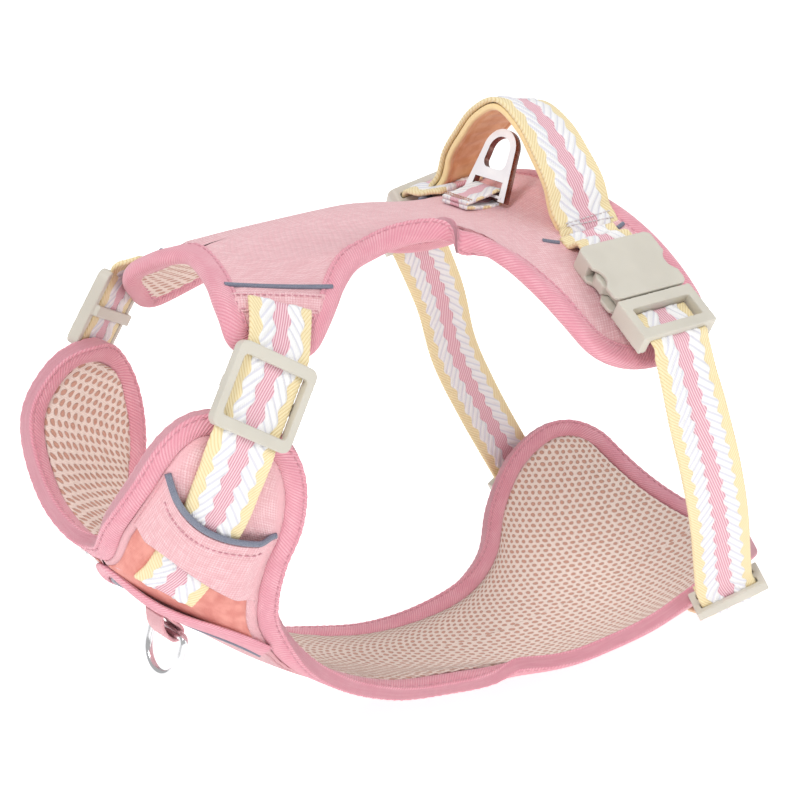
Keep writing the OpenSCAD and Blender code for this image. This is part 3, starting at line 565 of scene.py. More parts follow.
def panel_layer(name, panel, low, high, mat, node, cols=30, wing=34, rear=96):
    """A cloth layer of a panel. low and high give its faces' heights from the edge distance."""
    rows, join = panel_rows(CLOTH_IN, wing, rear)
    n = len(rows)
    s = rows[:, 0]
    mid_line = {side: panel.at(side, s, 0.5) for side in (1, -1)}
    points, cloth, faces = [], [], []
    for side in (1, -1):
        wl, wh = cuts(panel, side, rows)
        f = np.linspace(0, 1, cols + 1)
        w = wl[:, None] + (wh - wl)[:, None] * f[None, :]
        ss = np.repeat(s[:, None], cols + 1, 1)
        base = panel.at(side, ss, w)
        normal = panel.away(side, ss, w)
        step = np.linalg.norm(np.diff(base, axis=1), axis=-1)
        across = np.concatenate([np.zeros((n, 1)), np.cumsum(step, 1)], 1)
        width = across[:, -1:]
        e_out = width - across + (1 - wh)[:, None] * width
        e_in = across + wl[:, None] * width + np.maximum(0, s - 4)[:, None] * 22
        e_end = np.minimum(s * END_PITCH, (16 - s) * END_PITCH)[:, None] - CLOTH_IN + 0 * across
        e = np.minimum(np.minimum(e_out, e_in), e_end)
        u = side * (1.15 * np.abs(panel.inner(side, s)[:, :1]) + across)
        seg = np.linalg.norm(np.diff(mid_line[side], axis=0), axis=-1)
        v = np.concatenate([[0], np.cumsum(seg)])
        v = (v - v[join])[:, None] + 0 * across
        rough = ripple(u, v, e)
        m = cols + 1
        start = sum(len(p) for p in points)
        for h in (low(e) + 0 * rough, high(e)):
            points.append((base + (h + rough)[..., None] * normal).reshape(-1, 3))
            cloth.append(np.stack([u, v, e], -1).reshape(-1, 3))
        top = start + n * m

        def q(layer, r, c):
            return layer + r * m + c

        for r in range(n - 1):
            for c in range(cols):
                faces.append((q(top, r, c), q(top, r, c + 1), q(top, r + 1, c + 1), q(top, r + 1, c)))
                faces.append((q(start, r, c), q(start, r + 1, c), q(start, r + 1, c + 1), q(start, r, c + 1)))
            faces.append((q(start, r, cols), q(start, r + 1, cols), q(top, r + 1, cols), q(top, r, cols)))
            if r < join:
                faces.append((q(start, r, 0), q(top, r, 0), q(top, r + 1, 0), q(start, r + 1, 0)))
        for c in range(cols):
            for r in (0, n - 1):
                faces.append((q(start, r, c), q(start, r, c + 1), q(top, r, c + 1), q(top, r, c)))
    return make(name, np.vstack(points), faces, np.vstack(cloth), mat, stands_for=(node,))


def puff(base, edge, rise, reach):
    """Height of a padded face: edge at the seam, then rising smoothly to base + rise."""
    return lambda e: edge + (base + rise - edge) * (1 - np.exp(-np.maximum(e, 0) / reach))


def flat_at(height):
    """A face at one height."""
    return lambda e: height + 0 * e


for which, panel in (("back", BACK_CLOTH), ("chest", CHEST_CLOTH)):
    panel_layer(
        which + "_shell_cloth", panel, flat_at(1.7), puff(2.45, 2.1, 0.55, 5),
        SHELL, which + "_shell")
    panel_layer(
        which + "_lining_mesh", panel, puff(-2.65, -2.1, -0.75, 5), flat_at(-1.9),
        LINING, which + "_lining")
    foam = panel_layer(
        which + "_foam_pad", panel, flat_at(-1.4), flat_at(1.2),
        FOAM, which + "_foam", cols=12, wing=14, rear=40)


# ---------------------------------------------------------------- edge tape
def along(points, closed=False):
    p = np.asarray(points, float)
    if closed:
        p = np.vstack([p, p[:1]])
    return np.concatenate([[0], np.cumsum(np.linalg.norm(np.diff(p, axis=0), axis=-1))])


def heading(p, closed=False):
    """Unit directions along a line."""
    return unit(np.roll(p, -1, 0) - np.roll(p, 1, 0)) if closed else unit(np.gradient(p, axis=0))


def even(points, extras, step, closed):
    """Points and their extra vectors at even distances along a line."""
    p = np.asarray(points, float)
    ls = along(p, closed)
    n = max(4, int(round(ls[-1] / step)))
    x = np.linspace(0, ls[-1], n, endpoint=False) if closed else np.linspace(0, ls[-1], n + 1)

    def sample(a):
        a = np.asarray(a, float)
        if closed:
            a = np.vstack([a, a[:1]])
        return np.stack([np.interp(x, ls, a[:, k]) for k in range(a.shape[1])], -1)

    return sample(p), [sample(a) for a in extras], x


def soften(a, times):
    for _ in range(times):
        a = (np.roll(a, 1, 0) + 2 * a + np.roll(a, -1, 0)) / 4
    return a


def outline(panel):
    rows, join = panel_rows(BAND_IN, 40, 120, 10)
    n = len(rows)
    s = rows[:, 0]
    (l1, h1), (l2, h2) = cuts(panel, 1, rows), cuts(panel, -1, rows)
    part = np.linspace(0, 1, 40)[1:-1]
    inside = np.linspace(0, 1, 12)[1:-1]
    runs = [
        (1, s, h1),
        (1, np.full(38, s[-1]), h1[-1] * part[::-1]),
        (-1, np.full(38, s[-1]), h2[-1] * part),
        (-1, s[::-1], h2[::-1]),
        (-1, np.full(10, s[0]), (h2[0] + (l2[0] - h2[0]) * inside)),
        (-1, s[: join + 1], l2[: join + 1]),
        (1, s[: join][::-1], l1[: join][::-1]),
        (1, np.full(10, s[0]), (l1[0] + (h1[0] - l1[0]) * inside)),
    ]
    p = np.vstack([panel.at(side, a, b) for side, a, b in runs])
    up = np.vstack([panel.away(side, a, b) for side, a, b in runs])
    return p, up


TAPE = [
    (8.6, 2.2), (8.55, 2.75), (8.1, 3.0), (7.6, 2.98), (7.15, 2.78), (6.7, 2.98), (6.0, 3.15), (4.5, 3.25),
    (3.0, 3.2), (1.7, 2.8), (0.75, 2.05), (0.2, 1.05), (0.0, 0.0),
]


def ellipse(a, b, n):
    """A section with radii a and b in n points."""
    return [(a * math.cos(t), b * math.sin(t)) for t in np.linspace(0, 2 * math.pi, n, endpoint=False)]


def wrapped_faces(n, m, closed=False):
    """Faces round a skin of n rings with m points each."""
    out = []
    for i in range(n if closed else n - 1):
        here, there = i * m, (i + 1) % n * m
        for j in range(m):
            k = (j + 1) % m
            out.append((here + j, here + k, there + k, there + j))
    return out


def end_faces(n, k):
    """Faces that close the two ends of such a skin, whose rings have k points above and k below."""
    m = 2 * k
    return [(q + j, q + j + 1, q + m - 2 - j, q + m - 1 - j) for q in (0, (n - 1) * m) for j in range(k - 1)]


def tube(name, p, up, section, mat, closed, swell=None, body=ROOT, stands_for=()):
    """A solid swept along p. section holds (inward, upward) offsets in mm as a closed loop."""
    ls = along(p, closed)[: len(p)]
    go = heading(p, closed)
    up = square_to(up, go)
    inward = np.cross(up, go)
    sec = np.array(section, float)
    k = len(sec)
    around = along(sec, True)[:k]
    h = sec[None, :, 1] * np.ones((len(p), 1))
    a = sec[None, :, 0] * np.ones((len(p), 1))
    if swell is not None:
        a, h = swell(ls[:, None], a, h)
    pts = p[:, None] + a[..., None] * inward[:, None] + h[..., None] * up[:, None]
    u = np.broadcast_to(around[None], a.shape)
    v = np.broadcast_to(ls[:, None], a.shape)
    cloth = np.stack([u, v, 0 * a], -1)
    n = len(p)
    faces = wrapped_faces(n, k, closed)
    if not closed:
        faces += [tuple(range(k)), tuple((n - 1) * k + j for j in reversed(range(k)))]
    return make(name, pts.reshape(-1, 3), faces, cloth.reshape(-1, 3), mat, body, stands_for)


def stitches(name, p, up, pitch, length, thick, mat, slot, closed=False):
    """Thread dashes along a line: small rounded bars."""
    p, (up,), ls = even(p, [up], pitch, closed)
    go = heading(p, closed)
    up = square_to(up, go)
    side = np.cross(up, go)
    ring = ellipse(1, 1, 6)
    bar = wrapped_faces(4, 6) + [tuple(range(6)), tuple(range(23, 17, -1))]
    pts, cloth, faces = [], [], []
    stations = [(-0.5, 0.35, -0.12), (-0.25, 0.95, 0.0), (0.25, 0.95, 0.0), (0.5, 0.35, -0.12)]
    for i in range(len(p)):
        start = len(pts)
        for x, r, d in stations:
            for c, q in ring:
                off = r * c * side[i] * 0.6 + (r * q * 0.5 + d) * up[i]
                pts.append(p[i] + x * length * go[i] + thick * off)
                cloth.append((c, ls[i] + x * length, 0))
        faces += [tuple(start + q for q in f) for f in bar]
    return make(name, pts, faces, cloth, mat)


for which, panel in (("back", BACK_EDGE), ("chest", CHEST_EDGE)):
    p, up = outline(panel)
    p, (up,), _ = even(p, [up], 1.2, True)
    p, up = soften(p, 5), unit(soften(up, 14))
    go = heading(p, True)
    up = square_to(up, go)
    loop = [(a - BAND_IN, h) for a, h in TAPE] + [(a - BAND_IN, -h) for a, h in TAPE[-2::-1]]

    def swell(ls, a, h):
        wave = np.sin(ls * 1.55 + 0.8 * np.sin(ls * 0.17))
        near = np.exp(-(((a + BAND_IN - 7.0) / 2.2) ** 2))
        return a + 0.10 * wave * (a > 4.5), h * (1 + 0.035 * wave * near)

    name = which + "_edge_tape"
    tube(name, p, up, loop, BINDING, True, swell, stands_for=(which + "_binding",))
    inward = np.cross(up, go)
    for face, sign in (("outer", 1), ("inner", -1)):
        name = f"{which}_tape_stitches_{face}"
        line = p + (7.15 - BAND_IN) * inward + sign * 2.88 * up
        stitches(name, line, sign * up, 3.3, 2.3, 0.62, THREAD, "binding", closed=True)


# ---------------------------------------------------------------- webbing
def smooth_line(points, extras, step=0.8):
    """A smooth line through points, with the extra vectors taken along."""
    p = np.asarray(points, float)
    ls = along(p)
    slope = np.gradient(p, ls, axis=0)
    x = np.linspace(0, ls[-1], int(ls[-1] / step) + 2)
    i = np.clip(np.searchsorted(ls, x, "right") - 1, 0, len(ls) - 2)
    h = (ls[i + 1] - ls[i])[:, None]
    t = (x - ls[i])[:, None] / h
    line = ((2 * t**3 - 3 * t**2 + 1) * p[i] + (t**3 - 2 * t**2 + t) * h * slope[i]
            + (3 * t**2 - 2 * t**3) * p[i + 1] + (t**3 - t**2) * h * slope[i + 1])
    out = []
    for a in extras:
        a = np.asarray(a, float)
        out.append(np.stack([np.interp(x, ls, a[:, k]) for k in range(a.shape[1])], -1))
    return line, out, x


def strap_relief(u, v, amount):
    """Chunky white cords either side of a flat middle band, in mm."""
    x = np.abs(u) + 0.75 * np.sin(v * 2 * np.pi / 8.6)
    cord = np.clip((x - 3.0) / 0.7, 0, 1) * np.clip((8.5 - x) / 0.7, 0, 1)
    lumps = np.abs(np.sin(np.pi * (np.abs(u) / 3.4 - v / 4.5)))
    return amount * (cord * (0.10 + 0.5 * lumps) - 0.12 * (x < 3.0))


def strap(name, path, dirs, w, t, node, body=ROOT, relief=1.0, pattern=25.0,
          mat=WEBBING, step=0.8):
    """Webbing along path, as wide as w in the directions dirs, with its raised cords."""
    line, (d,), ls = smooth_line(path, [dirs], step)
    go = heading(line)
    s = square_to(unit(d), go)
    up = np.cross(go, s)
    half = w / 2
    bend = [half - t / 2 * (1 - math.sin(a)) for a in np.linspace(0, math.pi / 2, 5)]
    rolled = sorted({round(b, 4) for b in bend} | {round(-b, 4) for b in bend})
    x = np.sort(np.array(rolled + list(np.linspace(-half + t / 2 + 0.3, half - t / 2 - 0.3, 37))))
    k = len(x)
    over = np.maximum(0, np.abs(x) - (half - t / 2))
    thick = np.sqrt(np.maximum(0, 1 - (over / (t / 2)) ** 2)) * t / 2
    u = np.broadcast_to(x[None] * pattern / w, (len(line), k))
    v = np.broadcast_to(ls[:, None], u.shape)
    lump = strap_relief(u, v, relief)
    edge = 0.12 * np.sin(v * 2 * np.pi / 2.1) * (np.abs(x)[None] > half - 1.2)
    xx = x[None] + np.sign(x)[None] * edge
    middle = line[:, None] + xx[..., None] * s[:, None]
    rise = (thick + lump * (thick > 0.6))[..., None] * up[:, None]
    top, low = middle + rise, middle - rise
    ring = np.concatenate([top, low[:, ::-1]], 1)
    uu = np.concatenate([u, u[:, ::-1]], 1)
    vv = np.concatenate([v, v[:, ::-1]], 1)
    faces = wrapped_faces(len(line), 2 * k) + end_faces(len(line), k)
    cloth = np.stack([uu, vv, 0 * uu], -1).reshape(-1, 3)
    return make(name, ring.reshape(-1, 3), faces, cloth, mat, body, node)


WEB_W, WEB_T = 25.0, 2.0
FOAM_T, GAP, SHELL_T, BINDING_T = 3.0, 0.15, 0.8, 6.0
SHELL_TOP = FOAM_T / 2 + GAP + SHELL_T
STRAP_H = BINDING_T / 2 + 0.2 + WEB_T / 2
STRAP_LOW = SHELL_TOP + WEB_T / 2 + 0.9
NECK_H = STRAP_H + 1.4
SLIDER_L = 31.0
SIDES = {1: "left", -1: "right"}
WING_H = {1: 3.7, -1: 5.7}

for side, word in SIDES.items():
    tab_end = BACK.lift(side, 0.0, 0.5, NECK_H)
    wing_end = CHEST.lift(side, 0.0, 0.5, NECK_H)
    mid = (tab_end + wing_end) / 2
    way = unit(tab_end - wing_end)
    wide = square_to(BACK.row_dir(side, 0.0, 0.5) + CHEST.row_dir(side, 0.0, 0.5), way)
    tab = [(1.6, STRAP_H), (1.3, STRAP_H), (0.8, STRAP_H + 0.4)]
    wing = [(0.8, STRAP_H + 0.4), (1.4, WING_H[side])]
    wing += [(s, WING_H[side]) for s in np.arange(2, 4.21, 0.55)]
    reach = SLIDER_L / 2 + 1
    path = [BACK.lift(side, s, 0.5, h) for s, h in tab]
    path += [mid + d * way for d in (reach, reach / 2, 0, -reach / 2, -reach)]
    path += [CHEST.lift(side, s, 0.5, h) for s, h in wing]
    dirs = [unit(BACK.row_dir(side, s, 0.5)) for s, h in tab] + [wide] * 5
    dirs += [unit(CHEST.row_dir(side, s, 0.5)) for s, h in wing]
    strap(word + "_neck_webbing", path, dirs, WEB_W, WEB_T, (word + "_neck_strap",))

BUCKLE_TOP = {1: vec(59, 55, 67.5), -1: vec(-49, 57, 68.5)}
BUCKLE_FOOT = {1: vec(101, 50, 43.5), -1: vec(-80, 76, 34)}
BUCKLE_FACE = {1: vec(0.46, -0.1, 0.88), -1: vec(-0.84, 0.1, 0.52)}
GIRTH_LOW = {1: vec(82, 113, -93), -1: vec(-80, 141, -97)}
GIRTH_UP = {1: unit(vec(-0.02, -0.51, 0.85)), -1: unit(vec(-0.16, -0.46, 0.87))}
GIRTH_FACE = {1: vec(0.85, -0.5, -0.17), -1: vec(-0.88, 0.2, -0.3)}
GIRTH_MID = {
    1: [vec(103, 57, 21), vec(101, 65, 5), vec(97, 78, -20), vec(91, 92, -48)],
    -1: [vec(-86, 96, 0), vec(-88, 107, -30), vec(-86.5, 122, -60)],
}
TURN_R, TURN_Y, STRAIGHT = 2.7, -4.0, 12.0

for side, word in SIDES.items():
    o = (BUCKLE_TOP[side] + BUCKLE_FOOT[side]) / 2
    y = unit(BUCKLE_FOOT[side] - BUCKLE_TOP[side])
    face = square_to(BUCKLE_FACE[side], y)
    x_dir = np.cross(y, face)
    # webbing from the panel to the socket
    ws = [0.43, 0.48] if side > 0 else [0.3, 0.38, 0.46]
    row, rise = (13.4, 0.15) if side > 0 else (12.7, 1.2)
    off = (29, 24, 18.3) if side > 0 else (25, 20.3)
    path = [BACK.lift(side, row, w, STRAP_LOW + rise) for w in ws] + [o - d * y for d in off]
    dirs = [unit(BACK.station_dir(side, row, w)) for w in ws]
    dirs += [side * unit(np.cross(BUCKLE_FACE[side], y))] * len(off)
    strap(word + "_socket_webbing", path, dirs, WEB_W, WEB_T, (word + "_socket_tab",))
    # girth strap
    up = GIRTH_UP[side]
    gface = square_to(GIRTH_FACE[side], up)
    xs = np.cross(-up, gface)
    g = GIRTH_LOW[side]
    high = g + (TURN_Y + STRAIGHT) * up
    turn = g + TURN_Y * up
    bend = [o + 18 * y, o + 25.5 * y] + GIRTH_MID[side] + [high, turn]
    m = len(bend) - 1
    free = [spot(np.array(bend[1:]), i / 5) for i in range((m - 2) * 5 + 1)]
    bow = [
        turn - TURN_R * (1 - math.cos(a)) * gface - TURN_R * math.sin(a) * up
        for a in np.radians(np.arange(30, 181, 30))
    ]
    path = [o + 10.5 * y, o + 17 * y] + free + [turn] + bow + [high - 2 * TURN_R * gface]
    f = len(free)
    dirs = []
    for i in range(len(path)):
        t = min(1, max(0, (i - 2) / (f - 2)))
        dirs.append(x_dir + (xs - x_dir) * t * t * (3 - 2 * t))
    ob = strap(word + "_girth_webbing", path, dirs, WEB_W, WEB_T, (word + "_girth_strap",), body=None)
    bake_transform(ob)
    # belly tab
    s0 = 14.6 if side > 0 else 14.0
    ws = [0.45, 0.6, 0.74]
    top = g + (TURN_Y - 2) * up - (2 * TURN_R + WEB_T + 0.6) * gface
    path = [CHEST.lift(side, s0, w, STRAP_H + 0.8) for w in ws]
    path += [top - 4 * up + 2 * side * vec(-1, 0, 0), top]
    dirs = [side * unit(CHEST.station_dir(side, s0, w)) for w in ws] + [np.cross(up, gface)] * 2
    strap(word + "_belly_webbing", path, dirs, WEB_W - 3, WEB_T, (word + "_belly_tab",), pattern=22.0)

# handle
HANDLE = np.array([
    [43.5, 61, 66.5], [40.5, 62, 71], [36, 62, 76.5], [32, 62, 86], [25, 62, 95], [14, 62, 106], [0, 62, 112],
], float)
WHOLE = np.vstack([HANDLE, flip(HANDLE[-2::-1])])
HANDLE_TURN = 0.2


def handle_line(inside, first):
    t = np.arange(first, 12 - first + 0.01, 0.1)
    p = spot(WHOLE, t)
    go = unit(spot(WHOLE, t + 0.05) - spot(WHOLE, t - 0.05))
    lean = np.stack([HANDLE_TURN * p[:, 0] / 40, 1 + 0 * t, -HANDLE_TURN * (p[:, 2] - 52) / 60], -1)
    side = square_to(lean, go)
    return p + inside * np.cross(go, side), side


p, d = handle_line(0, 0)
handle = strap("handle_webbing_top", p, d, WEB_W + 3, WEB_T, ("handle_webbing",), body=None)
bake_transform(handle)
back_of_it = -np.cross(heading(p), d)
for word, i in (("left", 10), ("right", len(p) - 11)):
    for row in (0, 1):
        j = i + (3 if word == "left" else -3) * row
        name = f"{word}_handle_stitches_{row + 1}"
        over = (WEB_T / 2 + 0.55) * back_of_it[j]
        line = np.array([p[j] + x * d[j] + over for x in np.linspace(-10.5, 10.5, 30)])
        stitches(name, line, np.array([back_of_it[j]] * 30), 2.2, 1.7, 0.5, WHITE_THREAD, "webbing")
PAD_T = 2.6
pad_line, pad_dir = handle_line(WEB_T / 2 + 0.35 + PAD_T / 2, 1.2)


def padding(name, line, dirs, w, t, node):
    """Soft lining with rolled edges and a sewn groove near each side."""
    line, (d,), ls = smooth_line(line, [dirs], 1.0)
    go = heading(line)
    s = square_to(unit(d), go)
    up = np.cross(go, s)
    a = np.linspace(-1, 1, 41)
    x = np.sin(a * math.pi / 2) * w / 2
    k = len(x)
    crown = t / 2 * (1 - np.abs(a) ** 6) ** 0.5 + 0.05
    groove = 0.75 * np.exp(-(((np.abs(x) - (w / 2 - 3.4)) / 0.55) ** 2))
    fold = 0.22 * np.sin(ls[:, None] * 0.9 + 0.6 * np.sin(ls[:, None] * 0.31)) * (1 - (a[None] ** 2)) ** 2
    inner = (crown - groove)[None] + 0.35 * (1 - a[None] ** 2) + fold
    outer = np.broadcast_to(crown[None], inner.shape)
    soft = line[:, None] + x[None, :, None] * s[:, None]
    low = soft - outer[..., None] * up[:, None]
    ring = np.concatenate([soft + inner[..., None] * up[:, None], low[:, ::-1]], 1)
    u = np.broadcast_to(x[None], inner.shape)
    v = np.broadcast_to(ls[:, None], inner.shape)
    e = np.broadcast_to((w / 2 - np.abs(x))[None], inner.shape)
    cloth = np.concatenate([np.stack([u, v, e], -1), np.stack([u, v, e], -1)[:, ::-1]], 1)
    faces = wrapped_faces(len(line), 2 * k) + end_faces(len(line), k)
    points, cloth = ring.reshape(-1, 3), cloth.reshape(-1, 3)
    ob = make(name, points, faces, cloth, PADDING, None, (node,))
    return ob


pad = padding("handle_pad_soft", pad_line, pad_dir, WEB_W + 1, PAD_T, "handle_pad")
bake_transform(pad)

# ring tabs
TAB_T = 1.4
BACK_BAR, FRONT_BAR = vec(0, 45, 77), vec(0, -114, -63.5)


def tab_loop(bar, go, up, r, tail, rise):
    below = [bar - tail * go + (rise - r) * up, bar - 6 * go - (r - 0.1) * up]
    turn = [bar + r * math.cos(a) * go + r * math.sin(a) * up for a in np.radians(np.arange(-90, 91, 15))]
    above = [bar - 6 * go + (r - 0.9) * up, bar - tail * go + (TAB_T + 0.2 + rise - r) * up]
    return below + turn + above


for name, bar, go, up, tail, rise, mat, slot, relief, wide in (
    ("ring_tab", BACK_BAR, vec(0, 1, 0), vec(0, 0, 1), 17, 1.9, WEBBING, "webbing", 0.3, 15.0),
    ("front_ring_tab", FRONT_BAR, unit(vec(0, 0.66, -0.75)), unit(vec(0, -0.75, -0.66)), 11, -0.4,
     SHELL, "shell_fabric", 0.0, 11.0),
):
    path = tab_loop(bar, go, up, 2.9, tail, rise)
    dirs = [vec(1, 0, 0)] * len(path)
    strap(name + "_webbing", path, dirs, wide, TAB_T, (name,), relief=relief, pattern=17.0,
          mat=mat, step=0.5)


# ---------------------------------------------------------------- patches, pockets and the front cover
def sheet_piece(name, panel, side, s, w, h, t, mat, node):
    """Cloth over a panel from grids of station, row place and height; side may be an array per column."""
    sides = np.broadcast_to(side, s.shape)
    base = np.zeros(s.shape + (3,))
    normal = np.zeros(s.shape + (3,))
    for k in (1, -1):
        mask = sides == k
        if mask.any():
            base[mask] = panel.at(k, s[mask], w[mask])
            normal[mask] = panel.away(k, s[mask], w[mask])
    low = base + h[..., None] * normal
    high = base + (h + t)[..., None] * normal
    across = np.linalg.norm(np.diff(high, axis=1), axis=-1)
    down = np.linalg.norm(np.diff(high, axis=0), axis=-1)
    u = np.concatenate([np.zeros((s.shape[0], 1)), np.cumsum(across, 1)], 1)
    v = np.concatenate([np.zeros((1, s.shape[1])), np.cumsum(down, 0)], 0)
    u = u - u.mean(1, keepdims=True)
    n, k = s.shape
    e = np.minimum(u - u[:, :1], u[:, -1:] - u) + 1.5
    cloth = np.stack([u, v, e], -1).reshape(-1, 3)
    pts = np.vstack([low.reshape(-1, 3), high.reshape(-1, 3)])
    off = n * k
    faces = []
    for r in range(n - 1):
        for c in range(k - 1):
            a = r * k + c
            faces.append((off + a, off + a + 1, off + a + k + 1, off + a + k))
            faces.append((a, a + k, a + k + 1, a + 1))
    for r in range(n - 1):
        for c in (0, k - 1):
            a = r * k + c
            faces.append((a, a + k, off + a + k, off + a))
    for c in range(k - 1):
        for r in (0, n - 1):
            a = r * k + c
            faces.append((a, a + 1, off + a + 1, off + a))
    return make(name, pts, faces, np.vstack([cloth, cloth]), mat, stands_for=(node,))


def grid(a, b):
    return np.meshgrid(a, b, indexing="ij")


CORD = ellipse(0.85, 0.85, 12)
SEAM = (2.6, 1.8, 0.5, THREAD, "shell_fabric")


def piping(name, line, ups, node, section=CORD):
    """A reflective cord sewn along a line."""
    tube(name, line, ups, section, TRIM, False, stands_for=(node,))


# a row counts along a panel from its front end, and a place across goes from 0 inside to 1 at the edge
SHOULDER_ROWS = (1.32, 2.12)
SHOULDER_SEAMS = (("low", 1.42), ("high", 2.0))
SHOULDER_CORD_ROW = 2.45
REAR_CORD_ROWS = ((11.2, 11.9), (14.8, 15.25))
REAR_CORD_PLACE = 0.46
COVER_END_ROW = 7.7

for side, word in SIDES.items():
    s, w = grid(np.linspace(*SHOULDER_ROWS, 26), np.linspace(0.0, 1.0, 40))
    e = np.minimum(w, 1 - w) * 40
    h = SHELL_TOP - 0.35 + 0.75 * (1 - np.exp(-e / 4)) + 0.1 * np.sin(w * 37 + s * 2)
    sheet_piece(word + "_shoulder_cloth", BACK, side, s, w, h, 0.6, SHELL, word + "_shoulder_patch")
    for tag, station in SHOULDER_SEAMS:
        ws = np.linspace(0.08, 0.92, 60)
        line = BACK.lift(side, station + 0 * ws, ws, np.full(60, SHELL_TOP + 1.1))
        stitches(f"{word}_shoulder_stitches_{tag}", line, BACK.away(side, station + 0 * ws, ws), *SEAM)

    # pocket and its reflective piping
    def pocket_top(w):
        return 1.5 + 0.7 * w + 2.2 * w * (1 - w)

    ws = np.linspace(0.0, 1.0, 60)
    f, w = grid(np.linspace(0, 1, 44), ws)
    s = (pocket_top(w) + 0.06) * (1 - f) + (2.75 + 1.2 * w) * f
    side_rise = np.clip(np.minimum(w, 1 - w) / 0.13, 0, 1)
    side_rise = side_rise * side_rise * (3 - 2 * side_rise)
    fold = 0.3 * np.sin(w * 13 + f * 4) * side_rise * np.sin(np.pi * f)
    h = SHELL_TOP - 0.3 + (WING_H[side] + 0.1) * side_rise + fold
    sheet_piece(word + "_pocket_cloth", CHEST, side, s, w, h, 0.7, SHELL, word + "_pocket")
    rise = np.interp(ws, w[0], h[0])
    # A darker sheet from under the pocket to the front cover: painted shade in the opening there.
    f2, w2 = grid(np.linspace(0, 1, 24), np.linspace(0.04, 0.96, 40))
    s2 = (2.5 + 1.2 * w2) * (1 - f2) + (4.3 + 1.15 * w2) * f2
    h2 = SHELL_TOP + 0.2 + 0.95 * np.sin(np.pi * w2)
    sheet_piece(word + "_pocket_opening_painted_shade", CHEST, side, s2, w2, h2, 0.16, POCKET_SHADE, word + "_pocket")
    trim_s = pocket_top(ws) - 0.02
    line = CHEST.lift(side, trim_s, ws, rise + 0.35)
    ups = CHEST.away(side, trim_s, ws)
    piping(word + "_pocket_piping", line, ups, word + "_pocket_trim", ellipse(1.25, 0.95, 16))
    line = CHEST.lift(side, trim_s + 0.3, ws, rise + 0.95)
    stitches(word + "_pocket_stitches", line[5:-5], CHEST.away(side, trim_s + 0.3, ws)[5:-5], *SEAM)

    # piping on the back panel
    ws = np.linspace(-0.02, 1.02, 60)
    s = SHOULDER_CORD_ROW - 0.25 * ws * (1 - ws)
    line = BACK.lift(side, s, ws, SHELL_TOP + 0.65 + 0 * ws)
    piping(word + "_shoulder_cord", line, BACK.away(side, s, ws), word + "_shoulder_piping")
    for k, (a, b) in enumerate(REAR_CORD_ROWS):
        s = np.linspace(a, b, 40)
        place = REAR_CORD_PLACE + 0 * s
        line = BACK.lift(side, s, place, SHELL_TOP + 0.75 + 0 * s)
        piping(f"{word}_rear_cord_{k + 1}", line, BACK.away(side, s, place), word + "_rear_piping")


def cover_top(w):
    return 4.3 + 1.15 * w


def cover_height(s, w):
    mouth = np.clip(1 - (s - cover_top(w)) / 1.5, 0, 1)
    return SHELL_TOP + 0.1 + 3 * np.sin(math.pi * w) ** 2 * mouth


half = np.linspace(0, 1.0, 46)
signed = np.concatenate([-half[:0:-1], half])
f, x = grid(np.linspace(0, 1, 44), signed)
side = np.where(x < 0, -1, 1)
w = np.abs(x)
s = (cover_top(w) + 0.2) * (1 - f) + COVER_END_ROW * f
e = np.minimum((1 - w) * 40, (1 - f) * 40)
fold = 0.18 * np.sin(x * 9 + f * 5) * np.sin(np.pi * f)
h = cover_height(s, w) - 0.5 * np.exp(-e / 3) + 0.25 * (1 - np.exp(-e / 6)) + fold
sheet_piece("front_cover_cloth", CHEST, side, s, w, h, 0.6, SHELL, "front_cover")


def mouth_line(xs, below, rise):
    """Points and outward directions along the cover's mouth, from far side to near."""
    line, ups = [], []
    for x in xs:
        k, w = (-1 if x < 0 else 1), abs(x)
        at = cover_top(w) + below
        line.append(CHEST.lift(k, np.float64(at), np.float64(w), cover_height(at, w) + rise))
        ups.append(CHEST.away(k, np.float64(at), np.float64(w)))
    return np.array(line), np.array(ups)


line, ups = mouth_line(signed, 0, 0.9)
line, (ups,), _ = even(line, [ups], 1.2, False)
tube("front_cover_tape", line, ups, ellipse(3.4, 1.25, 24), BINDING, False,
     stands_for=("cover_binding",))
line, ups = mouth_line(signed[3:-3], 0.34, 0.75)
piping("front_cover_piping", line, ups, "cover_binding")


# ---------------------------------------------------------------- plastic and metal
MOULDED_VOXEL = 0.36
MOULDED_ROUNDS = 9


